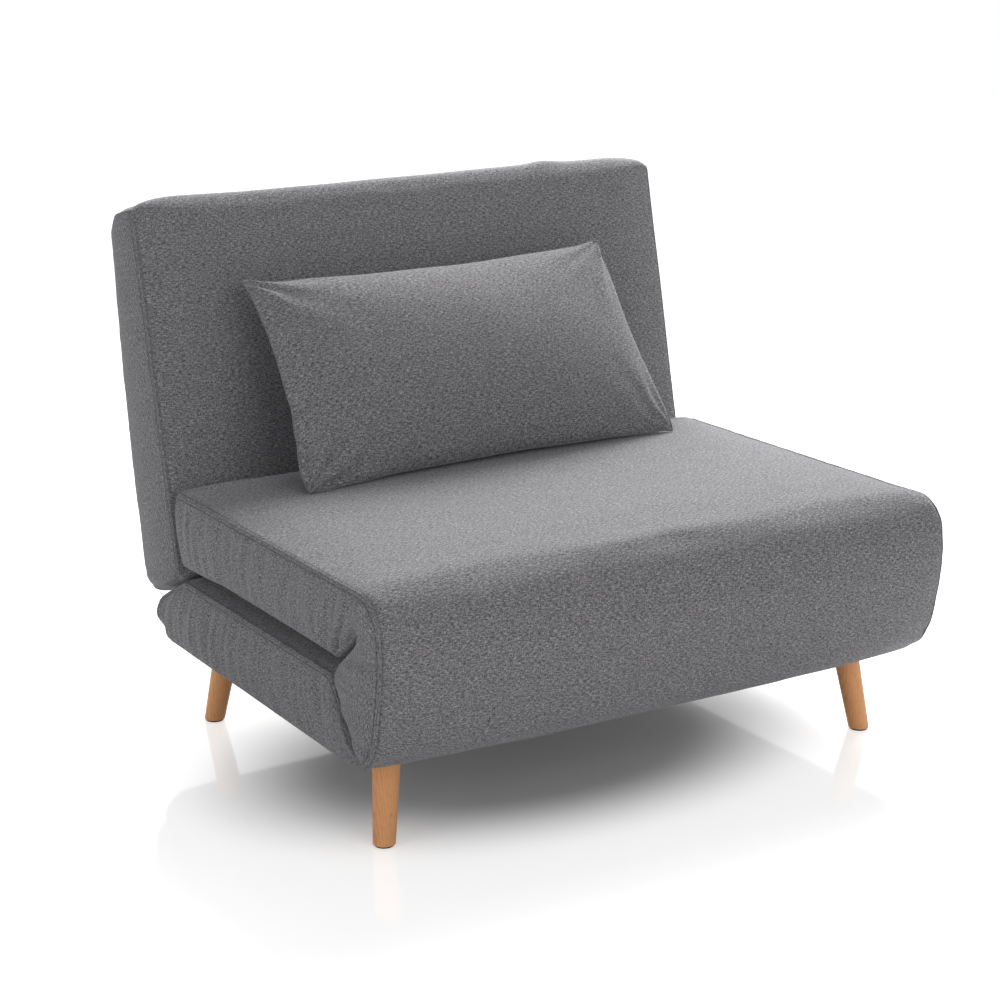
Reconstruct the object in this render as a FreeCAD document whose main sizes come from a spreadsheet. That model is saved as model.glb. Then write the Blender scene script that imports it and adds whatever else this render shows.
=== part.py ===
import FreeCAD, Part
import math
import os
import Sketcher

# Convertible chair bed: base, reclining back, front section and seat section that fold out, and a pillow.
# +X runs along the width, the front faces -Y, +Z is up and the floor is at zero.

document = FreeCAD.newDocument("chair_bed")
sheet = document.addObject("Spreadsheet::Sheet", "sizes")

SIZES = {
    # Width of the seat, and how much narrower the base and the back are
    "seat_width": 1000.0,
    "base_narrower": 8.0,
    "back_narrower": 12.0,
    # Seat section, seen from the side
    "seat_top": 404.0,
    "seat_thickness": 119.0,
    "seat_rear": 222.5,
    "seat_edge_round": 25.0,
    "seat_rear_lean": 9.0,
    "seat_crown": 9.0,
    "seat_under_crown": 9.5,
    # Front section
    "front_face": -457.5,
    "front_bulge": 4.0,
    "front_tuck": 10.0,
    "front_tuck_rise": 55.0,
    "front_lip_drop": 20.0,
    "nose_radius": 40.0,
    "toe_radius": 22.0,
    "toe_flat": 2.0,
    "front_cup_inset": 10.0,
    # Base section
    "base_top": 255.0,
    "base_bottom": 128.0,
    "base_toe": -351.5,
    "base_rear": 308.5,
    "base_heel_round": 52.0,
    "base_nose_drop": 16.0,
    "base_crown": 20.6,
    # Back section
    "recline_angle": 13.3,
    "back_face_depth": 98.0,
    "back_height": 712.0,
    "back_thickness_low": 169.0,
    "back_thickness_high": 118.0,
    "back_crown": 9.0,
    "back_heel_rise": 72.0,
    "back_heel_tuck": 20.0,
    "back_belly_rise": 98.0,
    "back_middle_rise": 430.0,
    "back_middle_tuck": 17.0,
    "back_top_round": 42.0,
    "back_top_fall": 4.0,
    "back_top_rear_round": 34.0,
    "back_top_front_round": 38.0,
    "back_fold_rise": 82.0,
    "back_fold_overhang": 1.5,
    # Pivots
    "front_pivot_y": -406.5,
    "front_pivot_z": 172.0,
    "back_pivot_y": 285.5,
    "back_pivot_z": 150.0,
    "pin_radius": 5.0,
    "pin_clearance": 0.05,
    "pin_head_radius": 8.0,
    "pin_head_length": 4.0,
    # Steel plates of the hinges
    "plate_thickness": 6.0,
    "plate_radius": 12.0,
    "plate_gap": 0.5,
    "front_bracket_reach": 92.0,
    "front_bracket_angle": 4.0,
    "seat_bracket_reach": 86.0,
    "back_bracket_reach": 78.0,
    "back_bracket_angle": 169.0,
    "back_arm_length": 160.0,
    # Clearances
    "fold_gap": 1.2,
    "cup_gap": 0.5,
    "cover_thickness": 3.0,
    "fill_gap": 0.3,
    "slot_gap": 1.0,
    # Wooden rails and boards
    "rail_set_in": 60.0,
    "rail_thickness": 25.0,
    "base_rail_height": 80.0,
    "base_rail_lift": 6.5,
    "seat_rail_height": 28.0,
    "seat_rail_bottom": 319.0,
    "board_thickness": 12.0,
    "stile_depth": 26.0,
    "stile_start": 90.0,
    "stile_end_drop": 60.0,
    "back_rail_height": 60.0,
    "strap_margin": 35.0,
    # Slats
    "slat_width": 50.0,
    "slat_thickness": 8.0,
    "slat_count": 6.0,
    "slat_cap_length": 30.0,
    "slat_cap_wall": 3.0,
    "strap_width": 55.0,
    "strap_thickness": 2.5,
    "strap_count": 6.0,
    # Turned wooden legs
    "leg_top_radius": 21.0,
    "leg_foot_radius": 16.5,
    "leg_set_in": 62.0,
    "leg_front_y": -345.0,
    "leg_rear_y": 236.0,
    "leg_splay_x": 17.0,
    "leg_splay_y": 21.0,
    "glide_height": 3.0,
    "glide_radius": 14.0,
    "leg_plate_side": 52.0,
    "leg_plate_thickness": 3.0,
    "stud_radius": 4.0,
    "stud_depth": 25.0,
    # Gaps between the frame's pieces
    "rail_end_gap": 6.0,
    "base_rail_inset": 22.0,
    "board_end_gap": 8.0,
    "seat_rail_inset": 20.0,
    # Fold-out support legs of the seat section
    "support_set_in": 45.0,
    "support_pivot_y": 197.5,
    "support_pivot_z": 366.0,
    "support_bar_thickness": 10.0,
    "support_bar_width": 22.0,
    "support_pin_radius": 4.0,
    "support_shoe_height": 12.0,
    "support_shoe_wall": 2.0,
    "support_bay_gap": 2.0,
    "support_ear_thickness": 3.0,
    "support_ear_gap": 0.5,
    "support_ear_rise": 9.0,
    # Pillow
    "pillow_width": 655.0,
    "pillow_height": 330.0,
    "pillow_thickness": 152.0,
    "pillow_ear": 12.0,
    "pillow_waist": 14.0,
    "pillow_shift_x": 1.0,
    "pillow_back_gap": 9.3,
    "pillow_rise": 8.0,
    "pillow_lean": 22.0,
}

# Places across the width that follow from the seat's width
SIZES_ACROSS = {
    "base_width": "=seat_width - base_narrower",
    "back_width": "=seat_width - back_narrower",
    "rail_inner": "=seat_width / 2 - rail_set_in",
    "leg_x": "=seat_width / 2 - leg_set_in",
    "support_pivot_x": "=seat_width / 2 - support_set_in",
}

for row, (alias, content) in enumerate([*SIZES.items(), *SIZES_ACROSS.items()], start=1):
    sheet.set("A%d" % row, alias.replace("_", " "))
    sheet.set("B%d" % row, str(content))
    sheet.setAlias("B%d" % row, alias)
document.recompute()


def size(alias):
    return float(sheet.get(alias))


nodes = {}


def register(name, item):
    item.Label = name
    nodes[name] = item
    return item


def place(item, x, y, z):
    for letter, expression in zip("xyz", (x, y, z)):
        item.setExpression("Placement.Base." + letter, expression)


def box(name, length, width, height, x, y, z):
    item = document.addObject("Part::Box", name)
    item.setExpression("Length", length)
    item.setExpression("Width", width)
    item.setExpression("Height", height)
    place(item, x, y, z)
    return item


def rod(name, radius, length, x, y, z, axis):
    item = document.addObject("Part::Cylinder", name)
    item.setExpression("Radius", radius)
    item.setExpression("Height", length)
    item.Placement.Rotation = FreeCAD.Rotation(FreeCAD.Vector(0, 0, 1), axis)
    place(item, x, y, z)
    return item


def group(name, items):
    item = document.addObject("Part::Compound", name)
    item.Links = items
    return item


def solid(name, shape):
    item = document.addObject("Part::Feature", name)
    item.Shape = shape
    item.Placement = FreeCAD.Placement()
    return item


X_AXIS = FreeCAD.Vector(1, 0, 0)
Y_AXIS = FreeCAD.Vector(0, 1, 0)
Z_AXIS = FreeCAD.Vector(0, 0, 1)
SIDES = (("left", -1), ("right", 1))


def outward(side, inner, thickness):
    # The low X of a piece that starts at a distance from the middle plane and grows outwards
    if side > 0:
        return inner
    return "-(%s) - (%s)" % (inner, thickness)


# Outlines in the side plane. Each corner is (y, z, bulge), and the bulge is that of the edge after it.

def inset_outline(corners, distance):
    # Moves every edge inwards by a distance, for corners that run anticlockwise
    moved = []
    count = len(corners)
    for index in range(count):
        before = corners[index - 1]
        here = corners[index]
        after = corners[(index + 1) % count]
        first = unit(here[0] - before[0], here[1] - before[1])
        second = unit(after[0] - here[0], after[1] - here[1])
        cosine = first[0] * second[0] + first[1] * second[1]
        normal = (-first[1] - second[1], first[0] + second[0])
        scale = distance / (1.0 + cosine)
        moved.append((here[0] + normal[0] * scale, here[1] + normal[1] * scale, here[2]))
    return moved


def unit(a, b):
    length = math.hypot(a, b)
    return a / length, b / length


def outline_wire(corners, x):
    edges = []
    count = len(corners)
    for index in range(count):
        a = corners[index]
        b = corners[(index + 1) % count]
        start = FreeCAD.Vector(x, a[0], a[1])
        end = FreeCAD.Vector(x, b[0], b[1])
        if a[2] == 0.0:
            edges.append(Part.LineSegment(start, end).toShape())
            continue
        along = unit(b[0] - a[0], b[1] - a[1])
        middle = ((a[0] + b[0]) / 2 + along[1] * a[2], (a[1] + b[1]) / 2 - along[0] * a[2])
        edges.append(Part.Arc(start, FreeCAD.Vector(x, middle[0], middle[1]), end).toShape())
    return Part.Wire(edges)


SIDE_STATIONS = (-1.0, -0.6, -0.2, 0.2, 0.6, 1.0)
SHOULDER = 14.0
DRAW_IN = 7.0


def padded(outline, width, inset):
    # A crowned section: it swells towards the middle, and its side panels draw in at their edges
    half = width / 2 - inset
    wires = [outline_wire(inset_outline(outline(0.0), inset + DRAW_IN), -half)]
    for station in SIDE_STATIONS:
        crown = 1.0 - abs(station) ** 3
        wires.append(outline_wire(inset_outline(outline(crown), inset), station * (half - SHOULDER)))
    wires.append(outline_wire(inset_outline(outline(0.0), inset + DRAW_IN), half))
    return Part.makeLoft(wires, True, True)


def slab(low, high):
    # A box from its low corner to its high corner
    a = FreeCAD.Vector(*low)
    b = FreeCAD.Vector(*high)
    return Part.makeBox(b.x - a.x, b.y - a.y, b.z - a.z, a)


def round_bar(radius, y, z, low_x, high_x):
    return Part.makeCylinder(radius, high_x - low_x, FreeCAD.Vector(low_x, y, z), X_AXIS)


# Places that follow from the driving sizes
NOSE_Y = size("front_face") + size("nose_radius")
NOSE_Z = size("seat_top") - size("nose_radius")
SEAT_BOTTOM = size("seat_top") - size("seat_thickness")
NOSE_Y_TEXT = "(sizes.front_face + sizes.nose_radius)"
NOSE_Z_TEXT = "(sizes.seat_top - sizes.nose_radius)"
TOE_Y = size("front_pivot_y")
TOE_Z = size("front_pivot_z")
HEEL_Y = size("back_pivot_y")
HEEL_Z = size("back_pivot_z")
RECLINE = math.radians(size("recline_angle"))
FAR = 2000.0
LEAST_BULGE = 0.4

# The fold between the front section and the base leaves the toe round at this slope
FOLD_SLOPE = unit(0.585, 0.815)
# The fold between the back and the base
BACK_FOLD_SLOPE = unit(0.905, -0.426)
# The back's underside runs past the pivot by this share of the fold, and starts behind its corner
FOLD_OVERRUN = 1.13
FOLD_STEP = 2.0


def along_front_fold(rise, gap):
    # A point on the fold line that touches the toe round, at a height over the base's bottom
    start_y = TOE_Y + size("toe_radius") * FOLD_SLOPE[1]
    start_z = TOE_Z - size("toe_radius") * FOLD_SLOPE[0]
    length = (rise - start_z) / FOLD_SLOPE[1]
    y = start_y + FOLD_SLOPE[0] * length + gap / FOLD_SLOPE[1]
    return y, rise


def back_point(up, behind):
    # A point of the back, from its pivot: up along the reclined back, and behind square to it
    y = HEEL_Y + up * math.sin(RECLINE) + behind * math.cos(RECLINE)
    z = HEEL_Z + up * math.cos(RECLINE) - behind * math.sin(RECLINE)
    return y, z


def nose_bulge(turn):
    # The bulge of an edge that follows the nose round through a turn in degrees
    return size("nose_radius") * (1.0 - math.cos(math.radians(turn) / 2))


def seat_outline(crown):
    top = size("seat_top")
    rear = size("seat_rear")
    edge = size("seat_edge_round")
    lean = size("seat_rear_lean")
    reach = NOSE_Z - SEAT_BOTTOM
    radius = size("nose_radius")
    corner = math.sqrt(0.5) * radius
    gap = size("fold_gap")
    return [
        (NOSE_Y, top, nose_bulge(90.0)),
        (NOSE_Y - radius, NOSE_Z, nose_bulge(90.0)),
        (NOSE_Y, NOSE_Z - radius, nose_bulge(45.0)),
        (NOSE_Y + corner + gap / 2, NOSE_Z - corner + gap / 2, LEAST_BULGE),
        (NOSE_Y + reach + 2 * gap, SEAT_BOTTOM, size("seat_under_crown") * crown + LEAST_BULGE),
        (rear - edge - lean / 2, SEAT_BOTTOM, 6.0),
        (rear - lean, SEAT_BOTTOM + edge, 2.0),
        (rear, top - edge, 7.0),
        (rear - edge, top, size("seat_crown") * crown + LEAST_BULGE),
    ]


def front_outline(crown):
    face = size("front_face")
    toe = size("toe_radius")
    inner = NOSE_Z - SEAT_BOTTOM
    gap = size("fold_gap")
    fold_y, fold_z = along_front_fold(size("base_top"), 0.0)
    foot_y, foot_z = TOE_Y + toe * FOLD_SLOPE[1], TOE_Z - toe * FOLD_SLOPE[0]
    bulge = size("front_bulge") * (0.5 + crown)
    return [
        (face, NOSE_Z, bulge),
        (face + size("front_tuck"), TOE_Z + size("front_tuck_rise"), 2.0),
        (TOE_Y - toe, TOE_Z, 4.0),
        (TOE_Y - size("toe_flat"), TOE_Z - toe, 2.5),
        (foot_y, foot_z, 0.0),
        (fold_y, fold_z, 3.0),
        (NOSE_Y + inner, SEAT_BOTTOM - gap, LEAST_BULGE),
        (NOSE_Y + size("front_cup_inset"), NOSE_Z - size("front_cup_inset") - gap, LEAST_BULGE),
    ]


def base_outline(crown):
    top = size("base_top")
    bottom = size("base_bottom")
    gap = size("fold_gap")
    front_top = along_front_fold(top, gap)
    front_low = along_front_fold(TOE_Z - size("base_nose_drop"), gap)
    inner_y, inner_z = back_fold(0.0)
    outer_y, outer_z = back_fold(1.0)
    rear = size("base_rear")
    return [
        (front_top[0], top, 0.0),
        (front_low[0], front_low[1], 3.0),
        (size("base_toe"), bottom, 0.0),
        (rear - size("base_heel_round"), bottom, 8.0),
        (rear, HEEL_Z + size("base_heel_round") / 3, 2.0),
        (outer_y, outer_z, LEAST_BULGE),
        (inner_y, inner_z, size("base_crown") * crown + LEAST_BULGE),
    ]


def back_fold(share):
    # From the inner corner of the fold (0) to the point nearest to the back's pivot (1)
    start_y, start_z = back_point(size("back_fold_rise"), -size("back_face_depth") - size("back_fold_overhang"))
    along = (HEEL_Y - start_y) * BACK_FOLD_SLOPE[0] + (HEEL_Z - start_z) * BACK_FOLD_SLOPE[1]
    return start_y + BACK_FOLD_SLOPE[0] * along * share, start_z + BACK_FOLD_SLOPE[1] * along * share


def back_outline(crown):
    depth = size("back_face_depth")
    height = size("back_height")
    low = size("back_thickness_low") - depth
    high = size("back_thickness_high") - depth
    gap = size("fold_gap")
    inner_y, inner_z = back_fold(0.0)
    outer_y, outer_z = back_fold(FOLD_OVERRUN)
    lift_y, lift_z = -BACK_FOLD_SLOPE[1] * gap, BACK_FOLD_SLOPE[0] * gap
    points = [
        (back_point(height - size("back_top_round"), -depth), size("back_crown") * crown + 2.0),
        ((inner_y + lift_y + FOLD_STEP, inner_z + lift_z), LEAST_BULGE),
        ((outer_y + lift_y, outer_z + lift_z), 2.0),
        (back_point(size("back_heel_rise"), low - size("back_heel_tuck")), 5.0),
        (back_point(size("back_belly_rise"), low), 6.0),
        (back_point(size("back_middle_rise"), low - size("back_middle_tuck")), 4.0),
        (back_point(height - size("back_top_round"), high), 9.0),
        (back_point(height - size("back_top_fall"), high - size("back_top_rear_round")), 4.0),
        (back_point(height, size("back_top_front_round") - depth), 9.0),
    ]
    return [(point[0], point[1], bulge) for point, bulge in points]


def plate(name, length, direction, x, y, z, pivot_holes):
    # A flat steel link with round ends, its first hole at its pivot and its length turned from +Y
    body = document.addObject("PartDesign::Body", name)
    sketch = body.newObject("Sketcher::SketchObject", name + "_sketch")
    plane = next(item for item in body.Origin.OriginFeatures if item.Role == "YZ_Plane")
    sketch.AttachmentSupport = [(plane, "")]
    sketch.MapMode = "FlatFace"
    reach = size("plate_radius")
    far = 100.0
    normal = FreeCAD.Vector(0, 0, 1)
    near_arc = Part.ArcOfCircle(Part.Circle(FreeCAD.Vector(0, 0, 0), normal, reach), math.pi / 2, 1.5 * math.pi)
    far_arc = Part.ArcOfCircle(Part.Circle(FreeCAD.Vector(far, 0, 0), normal, reach), -math.pi / 2, math.pi / 2)
    sketch.addGeometry(near_arc)
    sketch.addGeometry(Part.LineSegment(FreeCAD.Vector(0, -reach, 0), FreeCAD.Vector(far, -reach, 0)))
    sketch.addGeometry(far_arc)
    sketch.addGeometry(Part.LineSegment(FreeCAD.Vector(far, reach, 0), FreeCAD.Vector(0, reach, 0)))
    for first in range(4):
        sketch.addConstraint(Sketcher.Constraint("Tangent", first, 2, (first + 1) % 4, 1))
    sketch.addConstraint(Sketcher.Constraint("Equal", 0, 2))
    sketch.addConstraint(Sketcher.Constraint("Coincident", 0, 3, -1, 1))
    sketch.addConstraint(Sketcher.Constraint("PointOnObject", 2, 3, -1))
    bind(sketch, Sketcher.Constraint("Radius", 0, reach), "plate_end", "sizes.plate_radius")
    bind(sketch, Sketcher.Constraint("DistanceX", -1, 1, 2, 3, far), "plate_length", length)
    for arc, hole in zip((0, 2), pivot_holes):
        if hole is None:
            continue
        circle = sketch.addGeometry(Part.Circle(FreeCAD.Vector(0, 0, 0), normal, size("pin_radius")))
        sketch.addConstraint(Sketcher.Constraint("Coincident", circle, 3, arc, 3))
        limit = Sketcher.Constraint("Radius", circle, size("pin_radius"))
        bind(sketch, limit, "hole_%d" % arc, hole)
    pad = body.newObject("PartDesign::Pad", name + "_pad")
    pad.Profile = sketch
    pad.setExpression("Length", "sizes.plate_thickness")
    body.Tip = pad
    body.Placement.Rotation = FreeCAD.Rotation(X_AXIS, direction)
    place(body, x, y, z)
    return register(name, body)


def bind(sketch, constraint, name, expression):
    index = sketch.addConstraint(constraint)
    sketch.renameConstraint(index, name)
    sketch.setExpression("Constraints." + name, expression)


def hinge_pin(name, side, pivot_y, pivot_z):
    # A headed pin through the two plates of one hinge, its head on the inner side
    inner = "(sizes.rail_inner - 2 * sizes.plate_thickness - sizes.plate_gap)"
    shank_length = "2 * sizes.plate_thickness + sizes.plate_gap"
    shank_x = outward(side, inner, shank_length)
    shank = rod(name + "_shank", "sizes.pin_radius", shank_length, shank_x, pivot_y, pivot_z, X_AXIS)
    head_inner = inner + " - sizes.pin_head_length"
    head_x = outward(side, head_inner, "sizes.pin_head_length")
    head = rod(name + "_head", "sizes.pin_head_radius", "sizes.pin_head_length",
               head_x, pivot_y, pivot_z, X_AXIS)
    pin = document.addObject("Part::Fuse", name)
    pin.Base = shank
    pin.Tool = head
    return pin


TIGHT_HOLE = "sizes.pin_radius"
FREE_HOLE = "sizes.pin_radius + sizes.pin_clearance"
OUTER_PLATE = "(sizes.rail_inner - sizes.plate_thickness)"
INNER_PLATE = "(sizes.rail_inner - 2 * sizes.plate_thickness - sizes.plate_gap)"
PLATE_SLOT_INNER = size("rail_inner") - 2 * size("plate_thickness") - size("plate_gap") - size("slot_gap")
PIN_SLOT_INNER = PLATE_SLOT_INNER - size("pin_head_length")
PLATE_SLOT_OUTER = size("rail_inner") + size("fill_gap")


def both_sides(low_x, high_x, make):
    # Makes a cutting solid on the left and on the right
    return [make(-high_x, -low_x), make(low_x, high_x)]


def cut_all(shape, tools):
    for tool in tools:
        shape = shape.cut(tool)
    return shape


# Hinge plates and pins
link_length = "sqrt((%s - sizes.front_pivot_z)^2 + (%s - sizes.front_pivot_y)^2)" % (NOSE_Z_TEXT, NOSE_Y_TEXT)
link_angle = math.degrees(math.atan2(NOSE_Z - TOE_Z, NOSE_Y - TOE_Y))
seat_bracket_angle = -math.degrees(math.asin((NOSE_Z - size("seat_rail_bottom") - size("seat_rail_height") / 2)
                                             / size("seat_bracket_reach")))
back_arm_angle = 90.0 - size("recline_angle")

front_pins = []
seat_pins = []
back_pins = []
for label, side in SIDES:
    outer_x = outward(side, OUTER_PLATE, "sizes.plate_thickness")
    inner_x = outward(side, INNER_PLATE, "sizes.plate_thickness")
    plate("front_hinge_bracket_" + label, "sizes.front_bracket_reach", size("front_bracket_angle"), outer_x,
          "sizes.front_pivot_y", "sizes.front_pivot_z", (TIGHT_HOLE, None))
    plate("front_link_" + label, link_length, link_angle, inner_x,
          "sizes.front_pivot_y", "sizes.front_pivot_z", (FREE_HOLE, TIGHT_HOLE))
    plate("seat_hinge_bracket_" + label, "sizes.seat_bracket_reach", seat_bracket_angle, outer_x,
          NOSE_Y_TEXT, NOSE_Z_TEXT, (FREE_HOLE, None))
    plate("ratchet_bracket_" + label, "sizes.back_bracket_reach", size("back_bracket_angle"), outer_x,
          "sizes.back_pivot_y", "sizes.back_pivot_z", (TIGHT_HOLE, None))
    plate("ratchet_arm_" + label, "sizes.back_arm_length", back_arm_angle, inner_x,
          "sizes.back_pivot_y", "sizes.back_pivot_z", (FREE_HOLE, None))
    front_pins.append(hinge_pin("front_pin_" + label, side, "sizes.front_pivot_y", "sizes.front_pivot_z"))
    seat_pins.append(hinge_pin("seat_pin_" + label, side, NOSE_Y_TEXT, NOSE_Z_TEXT))
    back_pins.append(hinge_pin("back_pin_" + label, side, "sizes.back_pivot_y", "sizes.back_pivot_z"))

register("front_hinge_pins", group("front_hinge_pins", front_pins))
register("seat_hinge_pins", group("seat_hinge_pins", seat_pins))
register("ratchet_pins", group("ratchet_pins", back_pins))


# Base frame
BASE_RAIL_BOTTOM = "(sizes.base_bottom + sizes.base_rail_lift)"
BASE_RAIL_FRONT = "(sizes.base_toe + sizes.base_rail_inset)"
BASE_RAIL_LENGTH = "(sizes.back_pivot_y - sizes.base_rail_inset - %s)" % BASE_RAIL_FRONT
for label, side in SIDES:
    register("base_rail_" + label, box(
        "base_rail_" + label, "sizes.rail_thickness", BASE_RAIL_LENGTH, "sizes.base_rail_height",
        outward(side, "sizes.rail_inner", "sizes.rail_thickness"), BASE_RAIL_FRONT, BASE_RAIL_BOTTOM))
BASE_CROSS_FRONT = "(sizes.front_pivot_y + sizes.front_bracket_reach + sizes.plate_radius + sizes.rail_end_gap)"
BASE_CROSS_REAR = ("(sizes.back_pivot_y - sizes.back_bracket_reach - sizes.plate_radius"
                   " - sizes.rail_thickness - sizes.rail_end_gap)")
for label, y in (("front", BASE_CROSS_FRONT), ("rear", BASE_CROSS_REAR)):
    register("base_rail_" + label, box(
        "base_rail_" + label, "2 * sizes.rail_inner", "sizes.rail_thickness", "sizes.base_rail_height",
        "-sizes.rail_inner", y, BASE_RAIL_BOTTOM))


def slat_row(name, count, front_text, rear_text, top_text):
    # Slats across the frame between two cross rails, each end in a cap on the side rail
    slats = []
    caps = []
    first_y = "(%s + sizes.rail_thickness + 2 * sizes.slat_cap_wall)" % front_text
    last_y = "(%s - sizes.slat_width - 2 * sizes.slat_cap_wall)" % rear_text
    for index in range(count):
        tag = "%s_%d" % (name, index)
        slat_y = "(%s + (%s - %s) * %d / %d)" % (first_y, last_y, first_y, index, count - 1)
        slat_half = "(sizes.rail_inner - sizes.slat_cap_wall)"
        slat_z = "%s - sizes.slat_thickness - sizes.slat_cap_wall" % top_text
        slats.append(box(tag, "2 * %s" % slat_half, "sizes.slat_width", "sizes.slat_thickness",
                         "-%s" % slat_half, slat_y, slat_z))
        for label, side in SIDES:
            cap_x = outward(side, "(sizes.rail_inner - sizes.slat_cap_length)", "sizes.slat_cap_length")
            cap = document.addObject("Part::Cut", "%s_cap_%s" % (tag, label))
            cap.Base = box("%s_block_%s" % (tag, label), "sizes.slat_cap_length",
                           "sizes.slat_width + 2 * sizes.slat_cap_wall",
                           "sizes.slat_thickness + 2 * sizes.slat_cap_wall", cap_x,
                           "%s - sizes.slat_cap_wall" % slat_y,
                           "%s - sizes.slat_thickness - 2 * sizes.slat_cap_wall" % top_text)
            cap.Tool = box("%s_socket_%s" % (tag, label), "sizes.slat_cap_length", "sizes.slat_width",
                           "sizes.slat_thickness",
                           outward(side, "(sizes.rail_inner - sizes.slat_cap_length - sizes.slat_cap_wall)",
                                   "sizes.slat_cap_length"),
                           slat_y, slat_z)
            caps.append(cap)
    register(name, group(name, slats))
    register(name[:-1] + "_caps", group(name[:-1] + "_caps", caps))


slat_count = int(size("slat_count"))
slat_row("base_slats", slat_count, BASE_CROSS_FRONT, BASE_CROSS_REAR,
         "(%s + sizes.base_rail_height)" % BASE_RAIL_BOTTOM)

# Base cover and filling
BASE_RAIL_TOP = size("base_bottom") + size("base_rail_lift") + size("base_rail_height")
base_outer = padded(base_outline, size("base_width"), 0.0)
base_inner = padded(base_outline, size("base_width"), size("cover_thickness"))
base_fill = padded(base_outline, size("base_width"), size("cover_thickness") + size("fill_gap"))
heel_reach = size("plate_radius") + size("slot_gap")
base_slots = both_sides(PIN_SLOT_INNER, PLATE_SLOT_OUTER, lambda low, high: slab(
    (low, HEEL_Y - heel_reach, HEEL_Z - heel_reach), (high, FAR, FAR)))
base_slots += both_sides(PIN_SLOT_INNER, PLATE_SLOT_OUTER, lambda low, high: slab(
    (low, -FAR, TOE_Z - heel_reach), (high, TOE_Y + size("front_bracket_reach"), TOE_Z + 2 * heel_reach)))

register("base_foam", solid("base_foam", cut_all(
    base_fill.common(slab((-FAR, -FAR, BASE_RAIL_TOP + size("fill_gap")), (FAR, FAR, FAR))), base_slots)))


# Wooden legs, their plates, studs and glides
def leg_top(x_side, y, y_side):
    return FreeCAD.Vector(x_side * (size("leg_x") - size("leg_splay_x")), y - y_side * size("leg_splay_y"),
                          size("base_bottom"))


def circle_wire(centre, radius):
    return Part.Wire(Part.makeCircle(radius, centre, Z_AXIS))


plates = []
studs = []
glides = []
for row_name, leg_y, y_side in (("front", size("leg_front_y"), -1), ("rear", size("leg_rear_y"), 1)):
    for label, side in SIDES:
        top = leg_top(side, leg_y, y_side)
        foot = FreeCAD.Vector(side * size("leg_x"), leg_y, size("glide_height"))
        turned = Part.makeLoft([circle_wire(foot, size("leg_foot_radius")),
                                circle_wire(top, size("leg_top_radius"))], True, True)
        stud_base = top - Z_AXIS * size("stud_depth")
        stud_length = size("stud_depth") + size("base_rail_lift")
        stud = Part.makeCylinder(size("stud_radius"), stud_length, stud_base)
        register("leg_%s_%s" % (row_name, label), solid("leg_%s_%s" % (row_name, label), turned.cut(stud)))
        plate_low = top.z + size("base_rail_lift") - size("leg_plate_thickness")
        half_side = size("leg_plate_side") / 2
        steel = slab((top.x - half_side, top.y - half_side, plate_low),
                     (top.x + half_side, top.y + half_side, top.z + size("base_rail_lift")))
        plates.append(steel.cut(stud))
        studs.append(stud)
        glides.append(Part.makeCylinder(size("glide_radius"), size("glide_height"),
                                        FreeCAD.Vector(foot.x, foot.y, 0)))

register("leg_plates", solid("leg_plates", Part.makeCompound(plates)))
register("leg_studs", solid("leg_studs", Part.makeCompound(studs)))
register("leg_glides", solid("leg_glides", Part.makeCompound(glides)))
register("base_cover", solid("base_cover", cut_all(base_outer.cut(base_inner), base_slots + studs)))


# Front section: a cover over foam, with a plywood board between the two links
front_outer = padded(front_outline, size("seat_width"), 0.0)
front_inner = padded(front_outline, size("seat_width"), size("cover_thickness"))
front_fill = padded(front_outline, size("seat_width"), size("cover_thickness") + size("fill_gap"))
nose_reach = size("nose_radius") + size("cup_gap")
nose_cup = round_bar(nose_reach, NOSE_Y, NOSE_Z, -FAR, FAR)
nose_wall = round_bar(nose_reach + size("cover_thickness"), NOSE_Y, NOSE_Z, -FAR, FAR)
nose_fill = round_bar(nose_reach + size("cover_thickness") + size("fill_gap"), NOSE_Y, NOSE_Z, -FAR, FAR)
lip_z = NOSE_Z - size("front_lip_drop")
lip_cut = slab((-FAR, -FAR, lip_z), (FAR, NOSE_Y, FAR))
lip_fill = slab((-FAR, -FAR, lip_z - size("cover_thickness")), (FAR, NOSE_Y, FAR))
bracket_sweep = 2 * size("toe_radius")
bracket_notch = both_sides(size("rail_inner") - size("plate_thickness") - size("plate_gap"), PLATE_SLOT_OUTER,
                           lambda low, high: round_bar(bracket_sweep, TOE_Y, TOE_Z, low, high))
link_slot = both_sides(PIN_SLOT_INNER, PLATE_SLOT_OUTER, lambda low, high: slab(
    (low, NOSE_Y - heel_reach, TOE_Z - heel_reach), (high, TOE_Y + heel_reach, FAR)))
board_low = TOE_Z + 2 * size("board_end_gap")
board_high = NOSE_Z - size("nose_radius") - size("board_end_gap")
board_y = "(sizes.front_pivot_y - sizes.board_thickness)"
register("front_board", box("front_board", "2 * " + INNER_PLATE, "sizes.board_thickness",
                            "%s - sizes.nose_radius - sizes.front_pivot_z - 3 * sizes.board_end_gap"
                            % NOSE_Z_TEXT,
                            "-" + INNER_PLATE, board_y, "sizes.front_pivot_z + 2 * sizes.board_end_gap"))
board_half = PLATE_SLOT_INNER + 2 * size("slot_gap")
board_front = TOE_Y - size("board_thickness")
board_bay = slab((-board_half, board_front - size("fill_gap"), board_low - size("fill_gap")),
                 (board_half, TOE_Y + size("fill_gap"), board_high + size("fill_gap")))
front_shell = front_outer.cut(nose_cup).cut(lip_cut).cut(front_inner.cut(nose_wall).cut(lip_fill))
register("front_cover", solid("front_cover", cut_all(front_shell, link_slot + bracket_notch)))
front_foam = front_fill.cut(nose_fill).cut(lip_fill).cut(board_bay)
register("front_foam", solid("front_foam", cut_all(front_foam, link_slot + bracket_notch)))


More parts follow.
